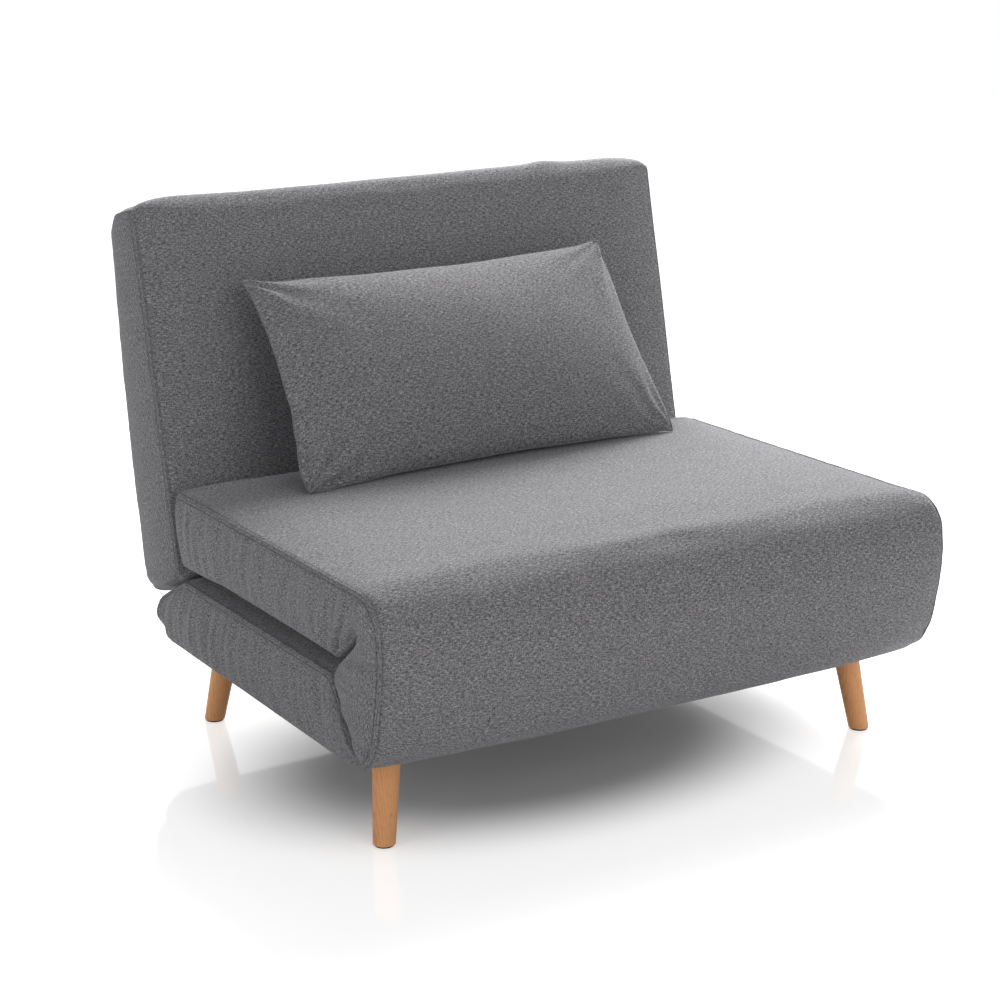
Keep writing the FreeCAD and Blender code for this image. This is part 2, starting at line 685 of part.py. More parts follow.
# Seat section: a cover over two foams with a slatted frame between them
SEAT_RAIL_BOTTOM = "sizes.seat_rail_bottom"
seat_rail_top = size("seat_rail_bottom") + size("seat_rail_height")
SEAT_RAIL_FRONT = "(%s + sizes.nose_radius + sizes.seat_rail_inset)" % NOSE_Y_TEXT
SEAT_RAIL_LENGTH = "(sizes.seat_rear - sizes.seat_rail_inset - %s)" % SEAT_RAIL_FRONT
for label, side in SIDES:
    register("seat_rail_" + label, box(
        "seat_rail_" + label, "sizes.rail_thickness", SEAT_RAIL_LENGTH, "sizes.seat_rail_height",
        outward(side, "sizes.rail_inner", "sizes.rail_thickness"), SEAT_RAIL_FRONT, SEAT_RAIL_BOTTOM))
SEAT_CROSS_FRONT = "(%s + sizes.seat_bracket_reach + sizes.plate_radius + sizes.rail_end_gap)" % NOSE_Y_TEXT
SEAT_CROSS_REAR = "(sizes.seat_rear - sizes.seat_rail_inset - sizes.rail_thickness)"
for label, y in (("front", SEAT_CROSS_FRONT), ("rear", SEAT_CROSS_REAR)):
    register("seat_rail_" + label, box(
        "seat_rail_" + label, "2 * sizes.rail_inner", "sizes.rail_thickness", "sizes.seat_rail_height",
        "-sizes.rail_inner", y, SEAT_RAIL_BOTTOM))
slat_row("seat_slats", slat_count, SEAT_CROSS_FRONT, SEAT_CROSS_REAR,
         "(%s + sizes.seat_rail_height - 2 * sizes.slat_cap_wall)" % SEAT_RAIL_BOTTOM)

seat_outer = padded(seat_outline, size("seat_width"), 0.0)
seat_inner = padded(seat_outline, size("seat_width"), size("cover_thickness"))
seat_fill = padded(seat_outline, size("seat_width"), size("cover_thickness") + size("fill_gap"))
# The links lean back below the seat's pivot, so their slots widen by a share of that lean
LINK_LEAN_SHARE = 0.3
link_lean = (TOE_Y - NOSE_Y) * LINK_LEAN_SHARE
seat_slots = both_sides(PIN_SLOT_INNER, PLATE_SLOT_OUTER, lambda low, high: slab(
    (low, -FAR, -FAR), (high, NOSE_Y + heel_reach + link_lean, NOSE_Z + heel_reach)))
bracket_bay = both_sides(PIN_SLOT_INNER, PLATE_SLOT_OUTER, lambda low, high: slab(
    (low, NOSE_Y, size("seat_rail_bottom") - size("slot_gap")),
    (high, NOSE_Y + size("seat_bracket_reach") + size("plate_radius"), NOSE_Z + heel_reach)))

# The bays in which the support legs lie, open through the seat's top
bay_gap = size("support_bay_gap")
bay_half_depth = size("support_bar_thickness") / 2 + size("support_ear_thickness") + bay_gap
bed_underside = TOE_Z + NOSE_Y - TOE_Y - size("nose_radius")
support_length = bed_underside + size("seat_top") - size("support_pivot_z")
bay_inner = size("support_pivot_x") - support_length - bay_gap
bay_outer = size("support_pivot_x") + size("support_bar_width") / 2 + bay_gap
bay_bottom = size("support_pivot_z") - size("support_bar_width") / 2 - bay_gap
support_bays = both_sides(bay_inner, bay_outer, lambda low, high: slab(
    (low, size("support_pivot_y") - bay_half_depth, bay_bottom),
    (high, size("support_pivot_y") + bay_half_depth, FAR)))

frame_layer = slab((-FAR, -FAR, size("seat_rail_bottom") - size("fill_gap")),
                   (FAR, FAR, seat_rail_top + size("fill_gap")))
upper = slab((-FAR, -FAR, seat_rail_top + size("fill_gap")), (FAR, FAR, FAR))
lower = slab((-FAR, -FAR, -FAR), (FAR, FAR, size("seat_rail_bottom") - size("fill_gap")))
bracket_outer = size("support_pivot_x") + size("support_bar_width") / 2 + size("fill_gap")
bracket_inner = size("support_pivot_x") - size("support_bar_width") / 2 - size("fill_gap")
bracket_feet = both_sides(bracket_inner, bracket_outer, lambda low, high: slab(
    (low, size("support_pivot_y") - bay_half_depth, -FAR),
    (high, size("support_pivot_y") + bay_half_depth, FAR)))
register("seat_top_foam", solid("seat_top_foam", cut_all(
    seat_fill.common(upper), seat_slots + bracket_bay + support_bays + bracket_feet)))
register("seat_bed_foam", solid("seat_bed_foam", cut_all(seat_fill.common(lower), seat_slots + bracket_bay)))
register("seat_cover", solid("seat_cover", cut_all(
    seat_outer.cut(seat_inner), seat_slots + support_bays)))

# Support legs: each turns on a pin between two ears of a bracket on the side rail
ears = []
pins = []
for label, side in SIDES:
    pivot = FreeCAD.Vector(side * size("support_pivot_x"), size("support_pivot_y"), size("support_pivot_z"))
    half_bar = size("support_bar_thickness") / 2
    half_width = size("support_bar_width") / 2
    ear = size("support_ear_thickness")
    ear_gap = size("support_ear_gap")
    pin_shape = Part.makeCylinder(size("support_pin_radius"), 2 * (half_bar + ear_gap + ear),
                                  pivot - Y_AXIS * (half_bar + ear_gap + ear), Y_AXIS)
    bracket_top = pivot.z + size("support_ear_rise")
    bracket = slab((pivot.x - half_width, pivot.y - half_bar - ear_gap - ear, seat_rail_top),
                   (pivot.x + half_width, pivot.y + half_bar + ear_gap + ear, bracket_top))
    between = slab((pivot.x - FAR, pivot.y - half_bar - ear_gap, pivot.z - half_width - size("slot_gap")),
                   (pivot.x + FAR, pivot.y + half_bar + ear_gap, FAR))
    ears.append(bracket.cut(between).cut(pin_shape))
    pins.append(pin_shape)
    shoe = size("support_shoe_height")
    reach_end = pivot.x - side * (support_length - shoe)
    bar_low = min(pivot.x, reach_end)
    bar = slab((bar_low, pivot.y - half_bar, pivot.z - half_width),
               (bar_low + support_length - shoe, pivot.y + half_bar, pivot.z + half_width))
    eye = Part.makeCylinder(half_width, 2 * half_bar, pivot - Y_AXIS * half_bar, Y_AXIS)
    bore = Part.makeCylinder(size("support_pin_radius") + size("pin_clearance"), 2 * half_bar,
                             pivot - Y_AXIS * half_bar, Y_AXIS)
    register("support_leg_" + label, solid("support_leg_" + label, bar.fuse(eye).removeSplitter().cut(bore)))
    wall = size("support_shoe_wall")
    shoe_end = pivot.x - side * support_length
    grip_end = reach_end + side * shoe
    shoe_block = slab((min(shoe_end, grip_end), pivot.y - half_bar - wall, pivot.z - half_width),
                      (max(shoe_end, grip_end), pivot.y + half_bar + wall, pivot.z + half_width))
    register("support_shoe_" + label, solid("support_shoe_" + label, shoe_block.cut(bar)))

register("support_brackets", solid("support_brackets", Part.makeCompound(ears)))
register("support_pins", solid("support_pins", Part.makeCompound(pins)))


# Back section: stiles and rails with webbing, a thick foam in front and a thin one behind
def back_box(name, low_x, high_x, low_up, high_up, low_behind, high_behind):
    item = document.addObject("Part::Box", name)
    y, z = back_point(low_up, low_behind)
    item.Length = high_x - low_x
    item.Width = high_behind - low_behind
    item.Height = high_up - low_up
    item.Placement = FreeCAD.Placement(FreeCAD.Vector(low_x, y, z),
                                       FreeCAD.Rotation(X_AXIS, -size("recline_angle")))
    return item


def back_block(low_x, high_x, low_up, high_up, low_behind, high_behind):
    block = Part.makeBox(high_x - low_x, high_behind - low_behind, high_up - low_up)
    y, z = back_point(low_up, low_behind)
    block.Placement = FreeCAD.Placement(FreeCAD.Vector(low_x, y, z),
                                        FreeCAD.Rotation(X_AXIS, -size("recline_angle")))
    return block


stile_inner = size("rail_inner") - size("plate_thickness") - size("plate_gap")
stile_outer = stile_inner + size("rail_thickness")
stile_half = size("stile_depth") / 2
stile_low = size("plate_radius") + size("stile_start")
stile_high = size("back_height") - size("stile_end_drop")
for label, side in SIDES:
    low_x = min(side * stile_inner, side * stile_outer)
    stile = back_box("back_stile_" + label, low_x, low_x + size("rail_thickness"), stile_low, stile_high,
                     -stile_half, stile_half)
    stile.setExpression("Length", "sizes.rail_thickness")
    stile.setExpression("Width", "sizes.stile_depth")
    register("back_stile_" + label, stile)
rail_rise = size("back_rail_height")
arm_clear = size("back_arm_length") + size("plate_radius") + size("rail_end_gap")
for label, low_up in (("top", stile_high - rail_rise), ("bottom", arm_clear)):
    rail = back_box("back_rail_" + label, -stile_inner, stile_inner, low_up, low_up + rail_rise,
                    -stile_half, stile_half)
    rail.setExpression("Width", "sizes.stile_depth")
    register("back_rail_" + label, rail)

straps = []
strap_count = int(size("strap_count"))
strap_first = arm_clear + rail_rise + size("strap_margin")
strap_last = stile_high - rail_rise - size("strap_margin")
for index in range(strap_count):
    centre = strap_first + (strap_last - strap_first) * index / (strap_count - 1)
    strap = back_box("back_strap_%d" % index, -stile_outer, stile_outer, centre - size("strap_width") / 2,
                     centre + size("strap_width") / 2, -stile_half - size("strap_thickness"), -stile_half)
    strap.setExpression("Width", "sizes.strap_thickness")
    straps.append(strap)
register("back_webbing", group("back_webbing", straps))

back_outer = padded(back_outline, size("back_width"), 0.0)
back_inner = padded(back_outline, size("back_width"), size("cover_thickness"))
back_fill = padded(back_outline, size("back_width"), size("cover_thickness") + size("fill_gap"))
arm_slots = both_sides(PIN_SLOT_INNER, stile_inner + size("fill_gap"), lambda low, high: back_block(
    low, high, 0.0, size("back_arm_length") + size("plate_radius") + size("slot_gap"),
    -heel_reach, heel_reach))
front_layer = back_block(-FAR, FAR, 0.0, FAR, -FAR, -stile_half - size("strap_thickness") - size("fill_gap"))
rear_layer = back_block(-FAR, FAR, 0.0, FAR, stile_half + size("fill_gap"), FAR)
register("back_cover", solid("back_cover", cut_all(back_outer.cut(back_inner), arm_slots)))
register("back_front_foam", solid("back_front_foam", cut_all(back_fill.common(front_layer), arm_slots)))
register("back_rear_foam", solid("back_rear_foam", cut_all(back_fill.common(rear_layer), arm_slots)))


# Pillow: a knife-edge form whose sides draw in between its corners
PILLOW_LEVELS = ((-1.0, 0.34), (-0.92, 0.20), (-0.62, 0.075), (-0.28, 0.014), (0.0, 0.0),
                 (0.28, 0.014), (0.62, 0.075), (0.92, 0.20), (1.0, 0.34))


def pillow_wire(shrink, level, inset):
    # One outline in the pillow's own plane, smaller and less waisted away from the seam
    half_wide = size("pillow_width") / 2 - inset
    height = size("pillow_height") - 2 * inset
    edge = shrink * size("pillow_height")
    ear = size("pillow_ear") * (1.0 - 2.5 * shrink)
    waist = size("pillow_waist") * (1.0 - 2.0 * shrink)
    left, right = -half_wide + edge - ear, half_wide - edge + ear
    low, high = inset + edge - ear * 0.2, inset + height - edge + ear
    corners = [(left, low), (right, low), (right, high), (left, high)]
    pulls = (waist * 0.2, waist, waist, waist)
    edges = []
    for index in range(4):
        a = corners[index]
        b = corners[(index + 1) % 4]
        along = unit(b[0] - a[0], b[1] - a[1])
        middle = ((a[0] + b[0]) / 2 - along[1] * pulls[index], (a[1] + b[1]) / 2 + along[0] * pulls[index])
        edges.append(Part.Arc(FreeCAD.Vector(a[0], -level, a[1]),
                              FreeCAD.Vector(middle[0], -level, middle[1]),
                              FreeCAD.Vector(b[0], -level, b[1])).toShape())
    return Part.Wire(edges)


def pillow_form(inset):
    half = size("pillow_thickness") / 2 - inset
    wires = [pillow_wire(shrink, level * half, inset) for level, shrink in PILLOW_LEVELS]
    return Part.makeLoft(wires, True, True)


def pillow_piece(name, shape):
    # The pillow stands on the seat and leans until its full middle meets the back
    lean = math.radians(size("pillow_lean"))
    behind = -(size("back_face_depth") + size("back_crown") + size("pillow_back_gap")
               + size("pillow_thickness") / 2)
    foot_z = size("seat_top") + size("pillow_rise")
    half_height = size("pillow_height") / 2
    middle_z = foot_z + half_height * math.cos(lean)
    up = (middle_z - HEEL_Z + behind * math.sin(RECLINE)) / math.cos(RECLINE)
    foot_y = back_point(up, behind)[0] - half_height * math.sin(lean)
    item = document.addObject("Part::Feature", name)
    item.Shape = shape
    item.Placement = FreeCAD.Placement(FreeCAD.Vector(size("pillow_shift_x"), foot_y, foot_z),
                                       FreeCAD.Rotation(X_AXIS, -size("pillow_lean")))
    return register(name, item)


pillow_piece("pillow_cover", pillow_form(0.0).cut(pillow_form(size("cover_thickness"))))
pillow_piece("pillow_fill", pillow_form(size("cover_thickness") + size("fill_gap")))

document.recompute()

for item in document.Objects:
    for state in item.State:
        if state in ("Invalid", "Error"):
            raise RuntimeError("%s failed" % item.Name)

os.makedirs("parts", exist_ok=True)
for name, item in nodes.items():
    shape = item.Shape
    if shape.isNull() or not shape.isValid():
        raise RuntimeError("%s has no valid shape" % name)
    shape.exportStep(os.path.join("parts", name + ".step"))
    print("%-28s solids %2d volume %.1f cm3" % (name, len(shape.Solids), shape.Volume / 1000.0))
print(len(nodes), "nodes")
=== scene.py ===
import math

import bmesh
import bpy
import numpy as np
from bpy.props import FloatProperty, FloatVectorProperty, IntProperty, PointerProperty
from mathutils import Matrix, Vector, noise


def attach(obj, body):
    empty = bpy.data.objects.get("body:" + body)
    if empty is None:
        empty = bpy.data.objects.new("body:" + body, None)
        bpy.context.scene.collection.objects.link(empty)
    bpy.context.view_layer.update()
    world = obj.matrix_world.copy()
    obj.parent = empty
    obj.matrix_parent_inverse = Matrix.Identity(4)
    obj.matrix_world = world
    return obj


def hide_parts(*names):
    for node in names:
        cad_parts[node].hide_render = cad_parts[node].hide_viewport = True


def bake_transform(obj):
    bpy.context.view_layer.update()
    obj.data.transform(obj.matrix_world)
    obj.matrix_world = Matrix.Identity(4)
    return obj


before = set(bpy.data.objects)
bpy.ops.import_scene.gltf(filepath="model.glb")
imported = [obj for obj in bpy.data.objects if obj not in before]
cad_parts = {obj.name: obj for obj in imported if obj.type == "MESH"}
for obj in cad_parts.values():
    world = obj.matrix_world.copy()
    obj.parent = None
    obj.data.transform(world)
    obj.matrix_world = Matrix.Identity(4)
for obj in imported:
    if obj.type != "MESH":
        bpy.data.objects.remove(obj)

bl_info = {
    "name": "Convertible chair bed",
    "version": (1, 0, 0),
    "blender": (4, 5, 0),
    "location": "View3D > Sidebar > Chair bed",
    "description": "Dresses the frame of a convertible chair bed: padded sections, seams, pillow, legs",
    "category": "Object",
}

MM = 0.001

# Side view of the chair in millimetres: (y, z, rounding radius) of each corner, front at the negative end.
# Each section has parts, and each part has a line on its outer side, a line on its inner side and a count.

NOSE_ROUND = 60.0
FOLD_TIP = (-382.5, 329.0)
FOLD_HALF = 1.3


def nose_arc(start, end, radius, centre):
    """Points of an arc in degrees, from the upright towards the front"""
    turns = np.radians(np.linspace(start, end, 24))
    return [(centre[0] - radius * math.sin(t), centre[1] + radius * math.cos(t), 0.0) for t in turns]


SEAT_FRONT_PARTS = [
    ([(222.5, 356, 0), (222.5, 405, 22), (188, 404, 0)],
     [(216, 334, 0), (211, 275, 20), (182, 275, 0)], 11),
    ([(188, 404, 0), (-318, 404, 0)],
     [(182, 275, 0), (60, 282, 90), (-304, 283, 0)], 84),
    ([(-318, 404, 0), (-397.5, 404, 0)],
     [(-304, 283, 0), (-320, 282, 6), (FOLD_TIP[0] + FOLD_HALF, FOLD_TIP[1] + FOLD_HALF, 0)], 15),
    (nose_arc(0, 90, NOSE_ROUND, (-397.5, 344.0)),
     [(FOLD_TIP[0] + FOLD_HALF, FOLD_TIP[1] + FOLD_HALF, 0), (FOLD_TIP[0] - FOLD_HALF, FOLD_TIP[1] + 2, 1),
      (FOLD_TIP[0] - FOLD_HALF, FOLD_TIP[1] - FOLD_HALF, 0)], 18),
    ([(-457.5, 344, 0), (-460.5, 322, 60), (-458, 285, 0)],
     [(FOLD_TIP[0] - FOLD_HALF, FOLD_TIP[1] - FOLD_HALF, 0), (-322.5, 277.0, 0)], 12),
    ([(-458, 285, 0), (-454, 255, 120), (-442, 196, 60), (-422, 158, 40), (-395, 141, 0)],
     [(-322.5, 277.0, 0), (-308, 260, 10), (-310, 244, 20), (-380, 150, 0)], 24),
]

BASE_PARTS = [
    ([(-364, 186, 0), (-303, 259, 12), (-280, 260, 0)],
     [(-372, 174, 0), (-384, 152, 9), (-352, 128, 14), (-322, 128, 0)], 13),
    ([(-280, 260, 0), (190, 258, 0)],
     [(-322, 128, 0), (222, 128, 0)], 84),
    ([(190, 258, 0), (211, 256, 12), (311, 205, 9), (310.5, 192, 0)],
     [(222, 128, 0), (279, 127, 24), (311, 153, 24), (311, 180, 0)], 20),
]


BACK_LEAN = math.radians(13.3)
BACK_PIVOT = (285.5, 150.0)


def back_point(up, behind):
    """A point of the back from its pivot: up along it, and behind square to it"""
    return (BACK_PIVOT[0] + up * math.sin(BACK_LEAN) + behind * math.cos(BACK_LEAN),
            BACK_PIVOT[1] + up * math.cos(BACK_LEAN) - behind * math.sin(BACK_LEAN))


def back_line(points):
    return [(*back_point(up, behind), radius) for up, behind, radius in points]


BACK_PARTS = [
    ([(224, 248, 0), (209.8, 254, 11), (*back_point(150, -98), 0)],
     [(330, 199, 0), (352, 207, 14), (378, 231, 22), (*back_point(130, 72), 0)], 14),
    (back_line([(150, -98, 0), (640, -98, 0)]),
     back_line([(130, 72, 0), (430, 54, 400), (640, 26, 0)]), 72),
    (back_line([(640, -98, 0), (708, -98, 40), (708, -58, 0)]),
     back_line([(640, 26, 0), (672, 22, 20), (708, -12, 30), (708, -40, 0)]), 15),
]


# Lines and sections

def rounded(points):
    """An open line through corners, each inner corner rounded to its radius"""
    line = [np.array(points[0][:2], float)]
    for before, here, after in zip(points, points[1:], points[2:]):
        corner = np.array(here[:2], float)
        back = np.array(before[:2], float) - corner
        ahead = np.array(after[:2], float) - corner
        room = 0.49 * min(np.linalg.norm(back), np.linalg.norm(ahead))
        back /= np.linalg.norm(back)
        ahead /= np.linalg.norm(ahead)
        half = math.acos(max(-1.0, min(1.0, float(back @ ahead)))) / 2
        reach = min(room, here[2] / max(math.tan(half), 1e-3))
        if reach < 0.05 or half > 1.565:
            line.append(corner)
            continue
        start = corner + back * reach
        end = corner + ahead * reach
        pulled = corner * 0.86 + (start + end) * 0.07
        for share in np.linspace(0, 1, 14):
            line.append((1 - share) ** 2 * start + 2 * share * (1 - share) * pulled + share ** 2 * end)
    line.append(np.array(points[-1][:2], float))
    return np.array(line)


def resample(line, count):
    """The line's points at even distances"""
    steps = np.linalg.norm(np.diff(line, axis=0), axis=1)
    along = np.concatenate([[0], np.cumsum(steps)])
    wanted = np.linspace(0, along[-1], count + 1)
    return np.stack([np.interp(wanted, along, line[:, axis]) for axis in (0, 1)], axis=1)


def matched_lines(parts):
    """The outer and inner line of a section, with as many points each"""
    outer, inner = [], []
    for outer_points, inner_points, count in parts:
        first = 0 if not outer else 1
        outer.extend(resample(rounded(outer_points), count)[first:])
        inner.extend(resample(rounded(inner_points), count)[first:])
    return np.array(outer), np.array(inner)


def soften(values, passes):
    for _ in range(passes):
        values = (np.roll(values, 1, axis=0) + 2 * values + np.roll(values, -1, axis=0)) / 4
    return values


def outward_normals(loop):
    """Unit normals of a closed line in the side plane, pointing out of it"""
    tangent = np.roll(loop, -1, axis=0) - np.roll(loop, 1, axis=0)
    area = np.sum(loop[:, 0] * np.roll(loop[:, 1], -1) - np.roll(loop[:, 0], -1) * loop[:, 1])
    turned = np.stack([tangent[:, 1], -tangent[:, 0]], axis=1) * (1 if area > 0 else -1)
    turned = soften(turned / np.maximum(np.linalg.norm(turned, axis=1), 1e-9)[:, None], 2)
    return turned / np.maximum(np.linalg.norm(turned, axis=1), 1e-9)[:, None]


def stations(half):
    """Places across the width: close together at both rims, then even"""
    rim = [0.0, 2.5, 6.0, 11.0, 18.0]
    inner = half - rim[-1]
    count = int(round(2 * inner / 17))
    middle = np.linspace(-inner, inner, count + 1)
    left = [-half + d for d in rim[:-1]]
    return np.array(left + list(middle) + [-x for x in reversed(left)])


class Section:
    """A closed padded form between matched lines, as a box of ribs, stations and layers"""

    def __init__(self, name, parts, half, crown, puff, draw_in=6.5, layers=12, soft=14.0):
        self.name = name
        self.half = half
        self.outer, self.inner = matched_lines(parts)
        self.ribs = len(self.outer) - 1
        self.across = stations(half)
        self.layers = layers
        self.soft = soft
        self.index = -np.ones((self.ribs + 1, len(self.across), layers + 1), int)
        self.points = []
        self.marks = []
        self.build(crown, puff, draw_in)

    def loop(self):
        shares = np.arange(1, self.layers) / self.layers
        end_cap = self.outer[-1] + (self.inner[-1] - self.outer[-1]) * shares[:, None]
        start_cap = self.inner[0] + (self.outer[0] - self.inner[0]) * shares[:, None]
        return np.concatenate([self.outer, end_cap, self.inner[::-1], start_cap])

    def add(self, rib, station, layer, point):
        if self.index[rib, station, layer] < 0:
            self.index[rib, station, layer] = len(self.points)
            self.points.append(point)
            self.marks.append((rib, station, layer))

    def build(self, crown, puff, draw_in):
        loop = self.loop()
        normals = outward_normals(loop)
        ribs, layers = self.ribs, self.layers
        swell = crown(loop)
        for station, x in enumerate(self.across):
            share = abs(x) / self.half
            edge = max(0.0, 1 - (self.half - abs(x)) / self.soft)
            inset = draw_in * (1 - math.sqrt(max(0.0, 1 - edge * edge)))
            moved = loop + normals * (swell * (1 - share ** 3) - inset)[:, None]
            outer = moved[:ribs + 1]
            end_cap = moved[ribs + 1:ribs + layers]
            inner = moved[ribs + layers:2 * ribs + layers + 1][::-1]
            start_cap = moved[2 * ribs + layers + 1:][::-1]
            for rib in range(ribs + 1):
                self.add(rib, station, 0, (x, *outer[rib]))
                self.add(rib, station, layers, (x, *inner[rib]))
            for layer in range(1, layers):
                self.add(0, station, layer, (x, *start_cap[layer - 1]))
                self.add(ribs, station, layer, (x, *end_cap[layer - 1]))
            if station in (0, len(self.across) - 1):
                for rib in range(1, ribs):
                    for layer in range(1, layers):
                        depth = layer / layers
                        point = outer[rib] * (1 - depth) + inner[rib] * depth
                        near_end = min(1.0, rib / 4, (ribs - rib) / 4)
                        bulge = puff * math.sin(math.pi * depth) ** 0.7 * near_end
                        self.add(rib, station, layer, (x + math.copysign(bulge, x), *point))

    def mesh(self):
        """The surface as quads, with its weave laid along the panels and round the sides"""
        outer_run = run_lengths(self.outer)
        inner_run = run_lengths(self.inner)
        middle_run = run_lengths((self.outer + self.inner) / 2)
        depth_of = np.linalg.norm(self.outer - self.inner, axis=1)
        last = len(self.across) - 1
        faces, weave = [], []

        def quad(corners, place):
            ids = [int(self.index[c]) for c in corners]
            faces.append(ids)
            weave.extend(place(c) for c in corners)

        for rib in range(self.ribs):
            for station in range(last):
                ring = [(rib, station), (rib + 1, station), (rib + 1, station + 1), (rib, station + 1)]
                quad([(r, s, 0) for r, s in ring], lambda c: (self.across[c[1]], outer_run[c[0]]))
                quad([(r, s, self.layers) for r, s in ring],
                     lambda c: (self.across[c[1]], -900 - inner_run[c[0]]))
            for layer in range(self.layers):
                ring = [(rib, layer), (rib + 1, layer), (rib + 1, layer + 1), (rib, layer + 1)]
                for station in (0, last):
                    quad([(r, station, k) for r, k in ring],
                         lambda c: (middle_run[c[0]], 1300 + depth_of[c[0]] * c[2] / self.layers))
        for station in range(last):
            for layer in range(self.layers):
                ring = [(station, layer), (station + 1, layer),
                        (station + 1, layer + 1), (station, layer + 1)]
                for rib in (0, self.ribs):
                    quad([(rib, s, k) for s, k in ring],
                         lambda c: (self.across[c[0 + 1]], -300 - depth_of[c[0]] * c[2] / self.layers))
        mesh = bpy.data.meshes.new(self.name)
        mesh.from_pydata([tuple(c * MM for c in p) for p in self.points], [], faces)
        layer_uv = mesh.uv_layers.new(name="weave")
        layer_uv.data.foreach_set("uv", (np.array(weave, np.float32) * MM).ravel())
        marks = np.array(self.marks, np.float32)
        for name, column, scale in (("rib", 0, 1.0), ("station", 1, 1.0), ("layer", 2, 1.0 / self.layers)):
            attribute = mesh.attributes.new(name, "FLOAT", "POINT")
            attribute.data.foreach_set("value", marks[:, column] * scale)
        outward_faces(mesh)
        return mesh

    def rim(self, station, layer, first=0, last=None):
        """The mesh points along one seam, from rib to rib"""
        last = self.ribs if last is None else last
        return [int(self.index[rib, station, layer]) for rib in range(first, last + 1)]


def run_lengths(line):
    return np.concatenate([[0], np.cumsum(np.linalg.norm(np.diff(line, axis=0), axis=1))])


def outward_faces(mesh):
    """Turns every face of a closed mesh outwards"""
    shell = bmesh.new()
    shell.from_mesh(mesh)
    bmesh.ops.recalc_face_normals(shell, faces=shell.faces)
    shell.to_mesh(mesh)
    shell.free()


def new_object(name, mesh):
    thing = bpy.data.objects.new(name, mesh)
    bpy.context.scene.collection.objects.link(thing)
    return thing


def coordinates(mesh):
    values = np.zeros(len(mesh.vertices) * 3, np.float32)
    mesh.vertices.foreach_get("co", values)
    return values.reshape(-1, 3)


def point_normals(mesh):
    values = np.zeros(len(mesh.vertices) * 3, np.float32)
    mesh.vertex_normals.foreach_get("vector", values)
    return values.reshape(-1, 3)


def point_values(mesh, name):
    values = np.zeros(len(mesh.vertices), np.float32)
    mesh.attributes[name].data.foreach_get("value", values)
    return values


def set_coordinates(mesh, values):
    mesh.vertices.foreach_set("co", values.astype(np.float32).ravel())
    mesh.update()


def swell(thing, held, pressure, limit):
    """Fills a cushion by a cloth simulation, its seams held, and caps how far each point may move"""
    scene = bpy.context.scene
    seams = thing.vertex_groups.new(name="seams")
    seams.add(sorted(held), 1.0, "REPLACE")
    cloth = thing.modifiers.new("swell", "CLOTH")
    cloth.settings.quality = 5
    cloth.settings.mass = 0.3
    cloth.settings.tension_stiffness = 15
    cloth.settings.compression_stiffness = 15
    cloth.settings.shear_stiffness = 5
    cloth.settings.bending_stiffness = 0.5
    cloth.settings.use_pressure = True
    cloth.settings.uniform_pressure_force = pressure
    cloth.settings.vertex_group_mass = "seams"
    cloth.settings.effector_weights.gravity = 0
    cloth.point_cache.frame_start = 1
    cloth.point_cache.frame_end = 20
    for step in range(1, 21):
        scene.frame_set(step)
    result = thing.evaluated_get(bpy.context.evaluated_depsgraph_get()).to_mesh()
    before = coordinates(thing.data)
    move = coordinates(result) - before
    thing.evaluated_get(bpy.context.evaluated_depsgraph_get()).to_mesh_clear()
    length = np.maximum(np.linalg.norm(move, axis=1), 1e-9)
    capped = limit * np.tanh(length / limit)
    thing.modifiers.remove(cloth)
    thing.vertex_groups.remove(seams)
    set_coordinates(thing.data, before + move * (capped / length)[:, None])
    scene.frame_set(1)


def subdivided(thing):
    """Gives an object its mesh after one subdivision"""
    finer = thing.modifiers.new("finer", "SUBSURF")
    finer.levels = finer.render_levels = 1
    finer.boundary_smooth = "PRESERVE_CORNERS"
    graph = bpy.context.evaluated_depsgraph_get()
    evaluated = thing.evaluated_get(graph)
    mesh = bpy.data.meshes.new_from_object(evaluated, preserve_all_data_layers=True, depsgraph=graph)
    thing.modifiers.remove(finer)
    old = thing.data
    thing.data = mesh
    bpy.data.meshes.remove(old)
    mesh.name = thing.name
    mesh.shade_smooth()


def waves(points, scale, seed):
    """Smooth noise from -1 to 1 at each point, with a scale for each axis"""
    offset = Vector((seed * 17.3, seed * 7.7, seed * 3.1))
    stretched = points * np.array(scale)
    return np.array([noise.noise(Vector(p) + offset) for p in stretched])


def bump_at(values, centre, width):
    return np.exp(-((values - centre) / width) ** 2)


# Seams

def smooth_path(path, normals, step):
    """A path and its normals, resampled to a step in metres"""
    runs = np.concatenate([[0], np.cumsum(np.linalg.norm(np.diff(path, axis=0), axis=1))])
    count = max(4, int(runs[-1] / step))
    wanted = np.linspace(0, runs[-1], count + 1)
    points = np.stack([np.interp(wanted, runs, path[:, k]) for k in range(3)], axis=1)
    turned = np.stack([np.interp(wanted, runs, normals[:, k]) for k in range(3)], axis=1)
    for _ in range(3):
        points[1:-1] = (points[:-2] + 2 * points[1:-1] + points[2:]) / 4
        turned[1:-1] = (turned[:-2] + 2 * turned[1:-1] + turned[2:]) / 4
    return points, turned / np.linalg.norm(turned, axis=1)[:, None]


def path_frames(points, normals):
    tangent = np.gradient(points, axis=0)
    tangent /= np.linalg.norm(tangent, axis=1)[:, None]
    sideways = np.cross(tangent, normals)
    sideways /= np.linalg.norm(sideways, axis=1)[:, None]
    return np.cross(sideways, tangent), sideways


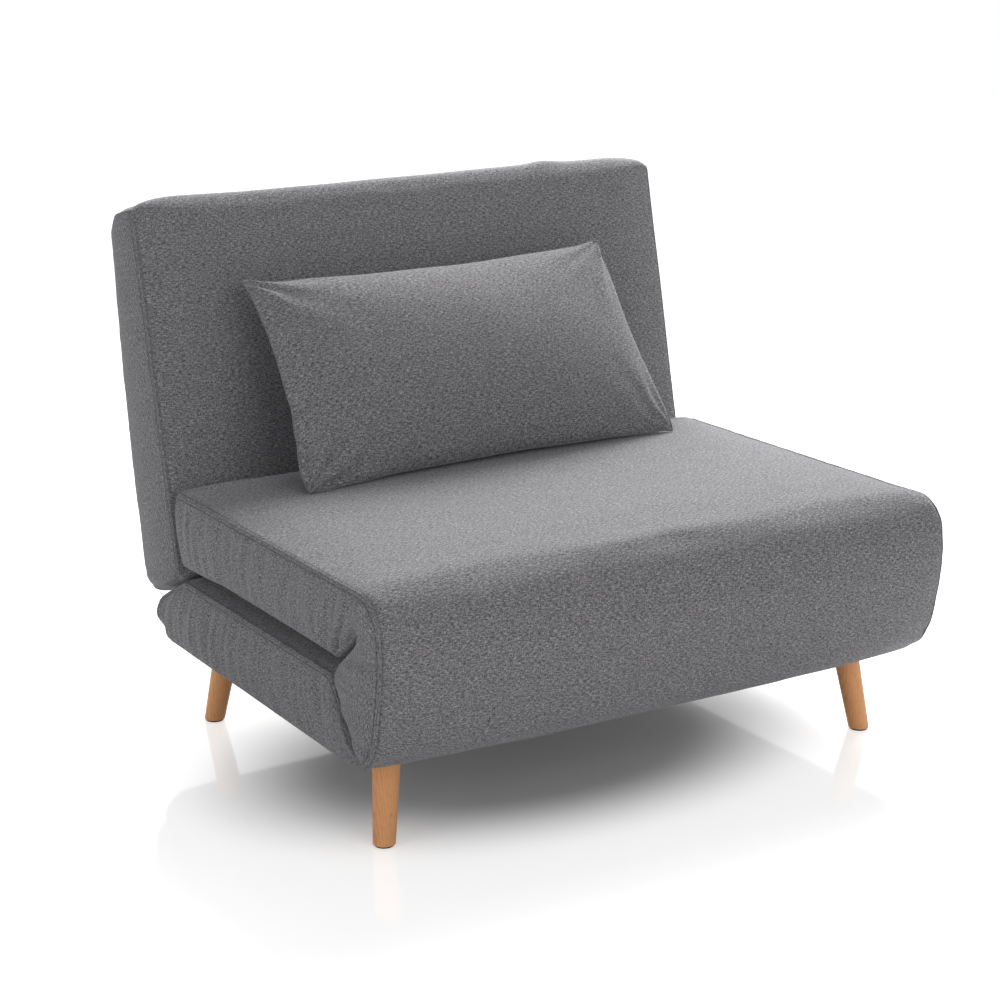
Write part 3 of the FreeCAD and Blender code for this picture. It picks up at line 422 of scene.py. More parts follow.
def seam_mesh(name, runs, radius, spread, rise, seed):
    """A turned-in seam: two low ridges side by side with a groove between them, along each path"""
    angles = np.linspace(0, 2 * math.pi, 16, endpoint=False)
    vertices, faces, weave = [], [], []
    for path, normals in runs:
        points, turned = smooth_path(path, normals, 0.003)
        up, sideways = path_frames(points, turned)
        length = np.concatenate([[0], np.cumsum(np.linalg.norm(np.diff(points, axis=0), axis=1))])
        first = len(vertices)
        for number, point in enumerate(points):
            taper = min(1.0, 0.15 + number / 6, 0.15 + (len(points) - 1 - number) / 6)
            unevenness = 1 + 0.10 * noise.noise(Vector((length[number] * 55, seed, 0)))
            for angle in angles:
                side = (spread + radius) * math.cos(angle) * taper
                height = radius * math.copysign(abs(math.sin(angle)) ** 0.6, math.sin(angle))
                if height > 0:
                    height *= 1 - 0.72 * math.exp(-(side / (0.42 * radius)) ** 2)
                place = point + up[number] * (height * taper * unevenness + rise) + sideways[number] * side
                vertices.append(tuple(place))
        sides = len(angles)
        for ring in range(len(points) - 1):
            for k in range(sides):
                a = first + ring * sides + k
                b = first + ring * sides + (k + 1) % sides
                faces.append((a, b, b + sides, a + sides))
                for corner_ring, corner_k in ((ring, k), (ring, k + 1), (ring + 1, k + 1), (ring + 1, k)):
                    weave.append((length[corner_ring], corner_k * 0.0011))
        faces.append(tuple(range(first, first + sides)))
        weave.extend([(0, 0)] * sides)
        end = first + (len(points) - 1) * sides
        faces.append(tuple(range(end, end + sides)))
        weave.extend([(0, 0)] * sides)
    mesh = bpy.data.meshes.new(name)
    mesh.from_pydata(vertices, [], faces)
    mesh.uv_layers.new(name="weave").data.foreach_set("uv", np.array(weave, np.float32).ravel())
    outward_faces(mesh)
    mesh.shade_smooth()
    return mesh


def stitch_rows(name, runs, offset, rise, material):
    """Rows of short stitches beside a seam, laid by geometry nodes and made a plain mesh"""
    curve = bpy.data.curves.new(name + "_rows", "CURVE")
    curve.dimensions = "3D"
    for path, normals in runs:
        points, turned = smooth_path(path, normals, 0.004)
        up, sideways = path_frames(points, turned)
        for side in (-1, 1):
            row = points + sideways * offset * side + up * rise
            spline = curve.splines.new("POLY")
            spline.points.add(len(row) - 1)
            spline.points.foreach_set("co", np.concatenate([row, np.ones((len(row), 1))], axis=1).ravel())
    holder = new_object(name + "_holder", curve)
    tree = stitch_tree()
    laid = holder.modifiers.new("stitches", "NODES")
    laid.node_group = tree
    items = tree.interface.items_tree
    sockets = {item.name: item.identifier for item in items if item.item_type == "SOCKET"}
    sizes = bpy.context.scene.chair_sizes
    laid[sockets["Spacing"]] = sizes.stitch_spacing
    laid[sockets["Length"]] = sizes.stitch_length
    laid[sockets["Thickness"]] = sizes.stitch_thickness
    laid[sockets["Thread"]] = material
    graph = bpy.context.evaluated_depsgraph_get()
    mesh = bpy.data.meshes.new_from_object(holder.evaluated_get(graph), depsgraph=graph)
    bpy.data.objects.remove(holder)
    mesh.name = name
    return new_object(name, mesh)


def stitch_tree():
    tree = bpy.data.node_groups.get("stitch rows")
    if tree:
        return tree
    tree = bpy.data.node_groups.new("stitch rows", "GeometryNodeTree")
    face = tree.interface
    face.new_socket("Geometry", in_out="INPUT", socket_type="NodeSocketGeometry")
    for label in ("Spacing", "Length", "Thickness"):
        face.new_socket(label, in_out="INPUT", socket_type="NodeSocketFloat")
    face.new_socket("Thread", in_out="INPUT", socket_type="NodeSocketMaterial")
    face.new_socket("Geometry", in_out="OUTPUT", socket_type="NodeSocketGeometry")
    nodes, links = tree.nodes, tree.links
    start = nodes.new("NodeGroupInput")
    end = nodes.new("NodeGroupOutput")
    points = nodes.new("GeometryNodeCurveToPoints")
    points.mode = "LENGTH"
    stitch = nodes.new("GeometryNodeMeshCylinder")
    stitch.inputs["Vertices"].default_value = 6
    lay = nodes.new("GeometryNodeInstanceOnPoints")
    real = nodes.new("GeometryNodeRealizeInstances")
    paint = nodes.new("GeometryNodeSetMaterial")
    links.new(start.outputs["Geometry"], points.inputs["Curve"])
    links.new(start.outputs["Spacing"], points.inputs["Length"])
    links.new(start.outputs["Thickness"], stitch.inputs["Radius"])
    links.new(start.outputs["Length"], stitch.inputs["Depth"])
    links.new(points.outputs["Points"], lay.inputs["Points"])
    links.new(points.outputs["Rotation"], lay.inputs["Rotation"])
    links.new(stitch.outputs["Mesh"], lay.inputs["Instance"])
    links.new(lay.outputs["Instances"], real.inputs["Geometry"])
    links.new(real.outputs["Geometry"], paint.inputs["Geometry"])
    links.new(start.outputs["Thread"], paint.inputs["Material"])
    links.new(paint.outputs["Geometry"], end.inputs["Geometry"])
    return tree


# Materials

class Shader:
    """A small helper that adds and joins the nodes of one material"""

    def __init__(self, name):
        self.material = bpy.data.materials.new(name)
        self.material.use_nodes = True
        self.nodes = self.material.node_tree.nodes
        self.links = self.material.node_tree.links
        self.surface = self.nodes["Principled BSDF"]
        self.coords = self.nodes.new("ShaderNodeTexCoord")

    def add(self, kind, settings=None, **inputs):
        node = self.nodes.new(kind)
        for key, value in (settings or {}).items():
            setattr(node, key, value)
        for key, value in inputs.items():
            numbered = key[0] == "i" and key[1:].isdigit()
            socket = node.inputs[int(key[1:]) if numbered else key.replace("_", " ")]
            if hasattr(value, "is_output"):
                self.links.new(value, socket)
            else:
                socket.default_value = value
        return node

    def mapped(self, source, scale, rotation=(0, 0, 0), shift=(0, 0, 0)):
        node = self.add("ShaderNodeMapping", Vector=source, Scale=scale, Rotation=rotation, Location=shift)
        return node.outputs[0]

    def noise(self, vector, scale, detail=2.0, roughness=0.5, distortion=0.0):
        return self.add("ShaderNodeTexNoise", Vector=vector, Scale=scale, Detail=detail,
                        Roughness=roughness, Distortion=distortion).outputs["Fac"]

    def ramp(self, value, stops):
        node = self.add("ShaderNodeValToRGB", Fac=value)
        band = node.color_ramp
        while len(band.elements) < len(stops):
            band.elements.new(0.5)
        for element, (place, colour) in zip(band.elements, stops):
            element.position = place
            element.color = (*colour, 1.0)
        return node.outputs["Color"]

    def math(self, operation, a, b=0.0, clamp=False):
        node = self.add("ShaderNodeMath", {"operation": operation, "use_clamp": clamp}, i0=a, i1=b)
        return node.outputs[0]

    def mix(self, factor, a, b, blend="MIX"):
        node = self.nodes.new("ShaderNodeMix")
        node.data_type = "RGBA"
        node.blend_type = blend
        for number, value in ((0, factor), (6, a), (7, b)):
            if hasattr(value, "is_output"):
                self.links.new(value, node.inputs[number])
            elif number == 0:
                node.inputs[0].default_value = value
            else:
                node.inputs[number].default_value = (*value, 1.0)
        return node.outputs[2]

    def bump(self, height, distance, strength=1.0, before=None):
        node = self.add("ShaderNodeBump", Height=height, Distance=distance, Strength=strength)
        if before is not None:
            self.links.new(before, node.inputs["Normal"])
        return node.outputs["Normal"]

    def finish(self, colour, roughness, normal=None, **fixed):
        if hasattr(colour, "is_output"):
            self.links.new(colour, self.surface.inputs["Base Color"])
        else:
            self.surface.inputs["Base Color"].default_value = (*colour, 1.0)
        if hasattr(roughness, "is_output"):
            self.links.new(roughness, self.surface.inputs["Roughness"])
        else:
            self.surface.inputs["Roughness"].default_value = roughness
        if normal is not None:
            self.links.new(normal, self.surface.inputs["Normal"])
        for key, value in fixed.items():
            self.surface.inputs[key.replace("_", " ")].default_value = value
        return self.material


def scaled(colour, factor):
    return tuple(min(1.0, c * factor) for c in colour)


def woven_fabric():
    """Melange upholstery: dark and pale yarns crossing, longer across the width than along it"""
    ready = bpy.data.materials.get("melange upholstery")
    if ready:
        return ready
    colours = bpy.context.scene.chair_colours
    middle = tuple(colours.fabric)
    s = Shader("melange upholstery")
    cloth = s.coords.outputs["UV"]
    long_flecks = s.noise(s.mapped(cloth, (150, 640, 1)), 1.0, 2.0, 0.6)
    cross_flecks = s.noise(s.mapped(cloth, (560, 230, 1), shift=(3, 7, 0)), 1.0, 2.0, 0.6)
    fine = s.noise(s.mapped(cloth, (1500, 1500, 1)), 1.0, 1.0, 0.5)
    patches = s.noise(s.mapped(cloth, (26, 60, 1), shift=(11, 5, 0)), 1.0, 3.0, 0.55)
    yarn = s.math("ADD", s.math("MULTIPLY", long_flecks, 0.55), s.math("MULTIPLY", cross_flecks, 0.45))
    colour = s.ramp(yarn, [(0.34, scaled(middle, 0.18)), (0.44, scaled(middle, 0.60)), (0.50, middle),
                           (0.56, scaled(middle, 1.42)), (0.66, scaled(middle, 2.4))])
    colour = s.mix(s.math("MULTIPLY", fine, 0.18), colour, scaled(middle, 0.80))
    shade = s.ramp(patches, [(0.25, (0.90, 0.90, 0.90)), (0.75, (1.10, 1.10, 1.10))])
    colour = s.mix(1.0, colour, shade, "MULTIPLY")
    bands = []
    for direction in ("X", "Y"):
        wave = s.add("ShaderNodeTexWave", {"wave_type": "BANDS", "bands_direction": direction},
                     Vector=s.mapped(cloth, (1, 1, 1)), Scale=150.0, Distortion=1.6, Detail=1.0,
                     Detail_Scale=2.0)
        bands.append(wave.outputs["Fac"])
    weave = s.math("MULTIPLY", *bands)
    height = s.math("ADD", s.math("MULTIPLY", weave, 0.5), s.math("MULTIPLY", yarn, 0.9))
    normal = s.bump(height, 0.0005, 0.38)
    rough = s.ramp(fine, [(0.0, (0.86, 0.86, 0.86)), (1.0, (0.98, 0.98, 0.98))])
    return s.finish(colour, rough, normal, Sheen_Weight=0.22, Sheen_Roughness=0.45, Specular_IOR_Level=0.25,
                    Sheen_Tint=(0.86, 0.87, 0.90, 1.0))


def thread_material():
    ready = bpy.data.materials.get("seam thread")
    if ready:
        return ready
    middle = tuple(bpy.context.scene.chair_colours.fabric)
    s = Shader("seam thread")
    place = s.coords.outputs["Object"]
    twist = s.add("ShaderNodeTexWave", {"wave_type": "BANDS", "bands_direction": "DIAGONAL"},
                  Vector=place, Scale=900.0, Distortion=0.4).outputs["Fac"]
    colour = s.ramp(twist, [(0.2, scaled(middle, 0.40)), (0.8, scaled(middle, 0.75))])
    return s.finish(colour, 0.6, s.bump(twist, 0.0001, 0.5))


def beech():
    """Oiled beech: pale red-brown, straight grain up the leg and short dark flecks"""
    ready = bpy.data.materials.get("oiled beech")
    if ready:
        return ready
    wood = tuple(bpy.context.scene.chair_colours.beech)
    s = Shader("oiled beech")
    place = s.coords.outputs["Object"]
    drift = s.noise(s.mapped(place, (9, 9, 3)), 1.0, 2.0)
    rings = s.add("ShaderNodeTexWave", {"wave_type": "BANDS", "bands_direction": "X"},
                  Vector=s.mapped(place, (1.0, 0.35, 0.12)), Scale=95.0, Distortion=4.5, Detail=3.0,
                  Detail_Scale=1.4, Detail_Roughness=0.6).outputs["Fac"]
    pores = s.noise(s.mapped(place, (1500, 1500, 110)), 1.0, 2.0, 0.6)
    flecks = s.noise(s.mapped(place, (600, 600, 70), shift=(4, 9, 2)), 1.0, 1.0)
    colour = s.ramp(rings, [(0.0, scaled(wood, 0.86)), (0.45, wood),
                            (0.8, scaled(wood, 1.10)), (1.0, scaled(wood, 0.96))])
    colour = s.mix(s.math("MULTIPLY", drift, 0.5), colour, scaled(wood, 0.90))
    dark = s.ramp(flecks, [(0.60, (1.0, 1.0, 1.0)), (0.72, (0.80, 0.74, 0.68))])
    colour = s.mix(0.8, colour, dark, "MULTIPLY")
    fine = s.ramp(pores, [(0.32, (0.84, 0.80, 0.76)), (0.46, (1.0, 1.0, 1.0))])
    colour = s.mix(0.7, colour, fine, "MULTIPLY")
    rough = s.ramp(pores, [(0.3, (0.46, 0.46, 0.46)), (0.6, (0.34, 0.34, 0.34))])
    return s.finish(colour, rough, s.bump(pores, 0.0002, 0.35), Specular_IOR_Level=0.45)


def plain_finish(name, colour, roughness, metallic=0.0, grain=(400, 400, 400), depth=0.0001):
    """Timber, steel, plastic or rubber of the hidden frame, with a fine uneven surface"""
    ready = bpy.data.materials.get(name)
    if ready:
        return ready
    s = Shader(name)
    place = s.coords.outputs["Object"]
    spots = s.noise(s.mapped(place, grain), 1.0, 3.0, 0.6)
    wide = s.noise(s.mapped(place, (12, 12, 12)), 1.0, 2.0)
    tone = s.ramp(spots, [(0.3, scaled(colour, 0.78)), (0.6, colour), (0.8, scaled(colour, 1.12))])
    tone = s.mix(s.math("MULTIPLY", wide, 0.4), tone, scaled(colour, 0.88))
    rough = s.ramp(wide, [(0.2, (max(0.05, roughness - 0.08),) * 3),
                          (0.8, (min(1.0, roughness + 0.08),) * 3)])
    return s.finish(tone, rough, s.bump(spots, depth, 0.4), Metallic=metallic)


# Sizes and colours that a user would change

LENGTH = {"unit": "LENGTH", "subtype": "DISTANCE"}
COLOUR = {"subtype": "COLOR", "size": 3, "min": 0, "max": 1}


class ChairSizes(bpy.types.PropertyGroup):
    """Sizes of the padded sections, seams and stitches"""
    seat_crown: FloatProperty(name="Seat crown",
                              description="How far the seat's top swells in its middle",
                              default=0.0075, **LENGTH)
    side_puff: FloatProperty(name="Side swell",
                             description="How far the side panels swell between their seams",
                             default=0.0085, **LENGTH)
    pressure: FloatProperty(name="Filling pressure",
                            description="Pressure of the filling against the cover", default=4.0)
    settle: FloatProperty(name="Largest swell",
                          description="The farthest that the filling moves the cover",
                          default=0.006, **LENGTH)
    gather: FloatProperty(name="Gather depth", description="Depth of the gathers in the side panels",
                          default=0.0092, **LENGTH)
    seam_radius: FloatProperty(name="Seam ridge radius", description="Radius of each ridge of a seam",
                               default=0.0014, **LENGTH)
    seam_spread: FloatProperty(name="Seam half width",
                               description="From a seam's groove to the middle of each ridge",
                               default=0.0017, **LENGTH)
    stitch_spacing: FloatProperty(name="Stitch spacing", description="From one stitch to the next",
                                  default=0.0046, **LENGTH)
    stitch_length: FloatProperty(name="Stitch length", description="Length of one stitch",
                                 default=0.0032, **LENGTH)
    stitch_thickness: FloatProperty(name="Thread radius", description="Radius of the thread",
                                    default=0.0004, **LENGTH)
    pillow_points: IntProperty(name="Pillow points",
                               description="Points along the pillow's longer side", default=84)


class ChairColours(bpy.types.PropertyGroup):
    """Colours of the cover, the legs and the floor"""
    fabric: FloatVectorProperty(name="Fabric",
                                description="Middle colour of the melange cover",
                                **COLOUR, default=(0.228, 0.223, 0.233))
    beech: FloatVectorProperty(name="Beech", description="Colour of the oiled legs",
                               **COLOUR, default=(0.98, 0.46, 0.19))
    timber: FloatVectorProperty(name="Frame timber",
                                description="Colour of the planed frame",
                                **COLOUR, default=(0.50, 0.31, 0.15))
    steel: FloatVectorProperty(name="Coated steel",
                               description="Colour of the hinge plates",
                               **COLOUR, default=(0.030, 0.030, 0.033))
    floor: FloatVectorProperty(name="Floor", description="Colour of the glossy floor",
                               **COLOUR, default=(0.88, 0.88, 0.88))


# Pieces

def seat_front_crown(loop):
    """Swelling of the seat and front: full on the top and the face, none in the fold"""
    sizes = bpy.context.scene.chair_sizes
    top = sizes.seat_crown / MM
    y, z = loop[:, 0], loop[:, 1]
    amount = np.full(len(loop), 1.5)
    on_top = (z > 380) & (y > -430)
    toward_rear = np.clip((215 - y[on_top]) / 120, 0.25, 1)
    toward_nose = np.clip((y[on_top] + 428) / 130, -0.3, 1)
    amount[on_top] = top * toward_rear * toward_nose
    on_face = (y < -430) & (z < 365)
    amount[on_face] = 7.5 - 3.5 * bump_at(z[on_face], 355, 40)
    below = (z < 300) & (y > -325)
    amount[below] = 5.0 * np.clip((y[below] + 322) / 70, 0, 1) * np.clip((205 - y[below]) / 60, 0, 1)
    toe = (z < 190) & (y > -445) & (y < -388)
    amount[toe] = 11.0
    in_fold = (y > -420) & (y < -318) & (z < 352) & (z > 240)
    amount[in_fold] = -0.2
    return soften(amount, 3)


def base_crown(loop):
    """Swelling of the base: full on its top, even on its rear face"""
    y, z = loop[:, 0], loop[:, 1]
    amount = np.full(len(loop), 1.5)
    top = z > 230
    amount[top] = 11.0 * np.clip((y[top] + 322) / 130, 0, 1) * np.clip((212 - y[top]) / 110, 0, 1)
    rear = y > 300
    amount[rear] = 10.0
    return soften(amount, 3)


def back_crown(loop):
    """Swelling of the back: full on its face, fading toward its lower and upper ends"""
    amount = np.full(len(loop), 2.0)
    y, z = loop[:, 0] - BACK_PIVOT[0], loop[:, 1] - BACK_PIVOT[1]
    behind = y * math.cos(BACK_LEAN) - z * math.sin(BACK_LEAN)
    up = y * math.sin(BACK_LEAN) + z * math.cos(BACK_LEAN)
    face = behind < -70
    amount[face] = 8.0 * np.clip((up[face] - 82) / 120, 0.2, 1) * np.clip((712 - up[face]) / 90, 0.3, 1)
    rear = behind > 15
    amount[rear] = 9.0
    return soften(amount, 3)


def side_panels(mesh, section):
    """Which points lie on a side panel, between its seams"""
    station = point_values(mesh, "station")
    layer = point_values(mesh, "layer")
    at_end = (station < 0.01) | (station > len(section.across) - 1.01)
    return at_end & (layer > 0.001) & (layer < 0.999)


def side_gathers(mesh, section, depth, spacing, seed, strength=None):
    """Folds across the side panels: deepest at their seams and uneven along them"""
    points = coordinates(mesh)
    rib = point_values(mesh, "rib")
    layer = point_values(mesh, "layer")
    on_side = side_panels(mesh, section)
    run = np.interp(rib, np.arange(section.ribs + 1), run_lengths((section.outer + section.inner) / 2)) * MM
    place = np.stack([run / spacing, layer * 0.9, np.sign(points[:, 0])], axis=1)
    folds = waves(place, (1, 1, 3), seed) + 0.30 * waves(place, (2.1, 1.2, 3), seed + 1)
    near_seams = 0.55 + 0.45 * np.maximum(np.exp(-layer / 0.22), np.exp(-(1 - layer) / 0.22))
    amount = folds * near_seams * depth * np.sqrt(np.minimum(1, np.minimum(layer, 1 - layer) / 0.30))
    if strength is not None:
        amount = amount * strength(points / MM)
    return np.where(on_side, amount, 0.0)


def finish_section(section, thing, detail, held_extra=()):
    """Fills, subdivides and details one section, and returns its mesh"""
    sizes = bpy.context.scene.chair_sizes
    last = len(section.across) - 1
    held = set(held_extra)
    for station in (0, last):
        for layer in (0, section.layers):
            held.update(section.rim(station, layer))
        for rib in (0, section.ribs):
            held.update(int(i) for i in section.index[rib, station, :])
    swell(thing, held, sizes.pressure, sizes.settle)
    subdivided(thing)
    mesh = thing.data
    points = coordinates(mesh)
    move = detail(mesh, points)
    set_coordinates(mesh, points + point_normals(mesh) * move[:, None])
    return mesh


def dressed(thing):
    thing.data.materials.clear()
    thing.data.materials.append(woven_fabric())
    return thing


def rim_run(mesh, ids):
    """Places and normals of the given points, in their order"""
    return coordinates(mesh)[ids], point_normals(mesh)[ids]


STITCH_LIFT = 0.0001


def seams_and_stitches(section, mesh, name, ribs, rise, seed, offset, share=(1.0, 1.0)):
    """Corded seams at both ends of a section's outer side, and the stitches beside them"""
    sizes = bpy.context.scene.chair_sizes
    runs = [rim_run(mesh, section.rim(station, 0, *ribs)) for station in (0, len(section.across) - 1)]
    radius, spread = sizes.seam_radius * share[0], sizes.seam_spread * share[1]
    cord = new_object(name + "_seams", seam_mesh(name + "_seams", runs, radius, spread, rise, seed))
    dressed(cord)
    threads = stitch_rows(name + "_stitches", runs, offset, STITCH_LIFT, thread_material())
    return cord, threads


# Half widths of the padded sections, in millimetres
SEAT_HALF_WIDTH = 498.0
BASE_HALF_WIDTH = 494.0
BACK_HALF_WIDTH = 496.0

# Short tucks in the seat top beside the back: width in millimetres, depth in metres
SLIT_WIDTH = 2.6
SLIT_DEPTH = 0.0042

# Crease up the side panel from the fold: its start and way in the side plane, and depths in metres
CREASE_START = (-320, 282)
CREASE_WAY = (-0.45, 0.893)
CREASE_DEPTH = 0.0075
BEAD_HEIGHT = 0.0040


class CHAIR_OT_seat_and_front(bpy.types.Operator):
    """One padded cover over the seat and the front section, folded at the nose"""
    bl_idname = "chair.seat_and_front"
    bl_label = "Seat and front"

    def execute(self, context):
        sizes = context.scene.chair_sizes
        section = Section("seat_front_cover", SEAT_FRONT_PARTS, SEAT_HALF_WIDTH, seat_front_crown,
                          sizes.side_puff / MM)
        thing = new_object(section.name, section.mesh())
        fold = [int(i) for rib in range(section.ribs + 1) for i in section.index[rib, :, section.layers]
                if i >= 0 and 240 < section.points[i][2] < 345 and section.points[i][1] < -318]

        def detail(mesh, points):
            y, z = points[:, 1] / MM, points[:, 2] / MM
            x = points[:, 0] / MM

            def stronger(here):
                return 0.8 + 1.3 * bump_at(here[:, 1], -330, 60) * bump_at(here[:, 2], 290, 50)

            move = side_gathers(mesh, section, sizes.gather, 0.021, 3, stronger)
            move += 0.0011 * waves(points, (9, 9, 9), 5) + 0.0005 * waves(points, (26, 26, 26), 6)
            on_top = (z > 392) & (np.abs(x) < 492)
            slit_left = bump_at(y, 186 + 0.10 * (x + 430), SLIT_WIDTH) * np.clip((x + 468) / 12, 0, 1)
            slit_left *= np.clip((-318 - x) / 30, 0, 1)
            slit_right = bump_at(y, 190, SLIT_WIDTH) * np.clip((474 - x) / 12, 0, 1)
            slit_right *= np.clip((x - 316) / 30, 0, 1)
            move -= np.where(on_top, SLIT_DEPTH * slit_left + SLIT_DEPTH * slit_right, 0)
            ahead, above = y - CREASE_START[0], z - CREASE_START[1]
            toward = ahead * CREASE_WAY[0] + above * CREASE_WAY[1]
            beside = ahead * CREASE_WAY[1] - above * CREASE_WAY[0]
            crease = bump_at(beside, 4 * np.sin(toward / 16), 4.5) * np.clip(toward / 10, 0, 1)
            crease *= np.clip((125 - toward) / 70, 0, 1)
            beads = bump_at(beside, 11 + 3 * np.sin(toward / 9), 6.0) * np.clip(toward / 10, 0, 1)
            beads *= np.clip((90 - toward) / 50, 0, 1)
            creased = BEAD_HEIGHT * beads - CREASE_DEPTH * crease
            move += np.where(side_panels(mesh, section), creased, 0)
            return move

        mesh = finish_section(section, thing, detail, fold)
        dressed(thing)
        cord, threads = seams_and_stitches(section, mesh, "seat_front", (4, section.ribs),
                                           0.0004, 1.0, 0.0052)
        for piece in (thing, cord, threads):
            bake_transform(piece)
        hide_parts("seat_cover", "seat_top_foam", "seat_bed_foam", "front_cover", "front_foam")
        return {"FINISHED"}


class CHAIR_OT_base(bpy.types.Operator):
    """The padded base section with gathered side panels"""
    bl_idname = "chair.base"
    bl_label = "Base"

    def execute(self, context):
        sizes = context.scene.chair_sizes
        section = Section("base_cushion", BASE_PARTS, BASE_HALF_WIDTH, base_crown,
                          sizes.side_puff / MM + 2, soft=20.0)
        thing = new_object(section.name, section.mesh())

        def detail(mesh, points):
            def stronger(here):
                return 0.9 + 0.5 * np.clip((here[:, 1] - 120) / 120, 0, 1)

            move = side_gathers(mesh, section, sizes.gather * 1.05, 0.020, 9, stronger)
            move += 0.0009 * waves(points, (10, 10, 10), 15)
            return move

        mesh = finish_section(section, thing, detail)
        dressed(thing)
        cord, threads = seams_and_stitches(section, mesh, "base", (2, section.ribs), 0.0004, 4.0, 0.0052)
        for piece in (thing, cord, threads):
            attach(piece, "base")
        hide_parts("base_cover", "base_foam")
        return {"FINISHED"}


class CHAIR_OT_back(bpy.types.Operator):
    """The padded back with its stitched side seams"""
    bl_idname = "chair.back"
    bl_label = "Back"

    def execute(self, context):
        sizes = context.scene.chair_sizes
        section = Section("back_cushion", BACK_PARTS, BACK_HALF_WIDTH, back_crown,
                          sizes.side_puff / MM, draw_in=11.0, layers=14, soft=26.0)
        thing = new_object(section.name, section.mesh())

        def detail(mesh, points):
            def stronger(here):
                return 0.22 + 1.5 * bump_at(here[:, 2], 215, 45)

            x = points[:, 0]
            up = (points[:, 1] - BACK_PIVOT[0] * MM) * math.sin(BACK_LEAN)
            up += (points[:, 2] - BACK_PIVOT[1] * MM) * math.cos(BACK_LEAN)
            drop = 0.010 * ((np.abs(x) - 0.40) / 0.09).clip(0, 1) ** 2
            drop += 0.012 * ((0.30 - x) / 0.60).clip(0, 1) - 0.004 * bump_at(x, 0.28, 0.03)
            drop *= ((up - 0.56) / 0.14).clip(0, 1)
            points[:, 1] -= drop * math.sin(BACK_LEAN)
            points[:, 2] -= drop * math.cos(BACK_LEAN)
            move = side_gathers(mesh, section, sizes.gather, 0.022, 21, stronger)
            move += 0.0012 * waves(points, (7, 7, 7), 25)
            return move

        mesh = finish_section(section, thing, detail)
        dressed(thing)
        cord, threads = seams_and_stitches(section, mesh, "back", (), 0.0002, 7.0, 0.0046, share=(0.6, 0.8))
        for piece in (thing, cord, threads):
            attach(piece, "back")
        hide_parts("back_cover", "back_front_foam", "back_rear_foam")
        return {"FINISHED"}


# Corners of the pillow's seam, in millimetres: bottom left, bottom right, top right, top left
PILLOW_CORNERS = ((-357, 42, 412), (376, 88, 412), (322, 252, 733), (-364, 252, 723))
PILLOW_HALF = 74.0
# Depth of the folds at those corners, in millimetres, and along the left seam, in metres
PILLOW_CORNER_FOLDS = (4.2, 2.6, 2.2, 3.2)
PILLOW_SIDE_FOLDS = 0.0040


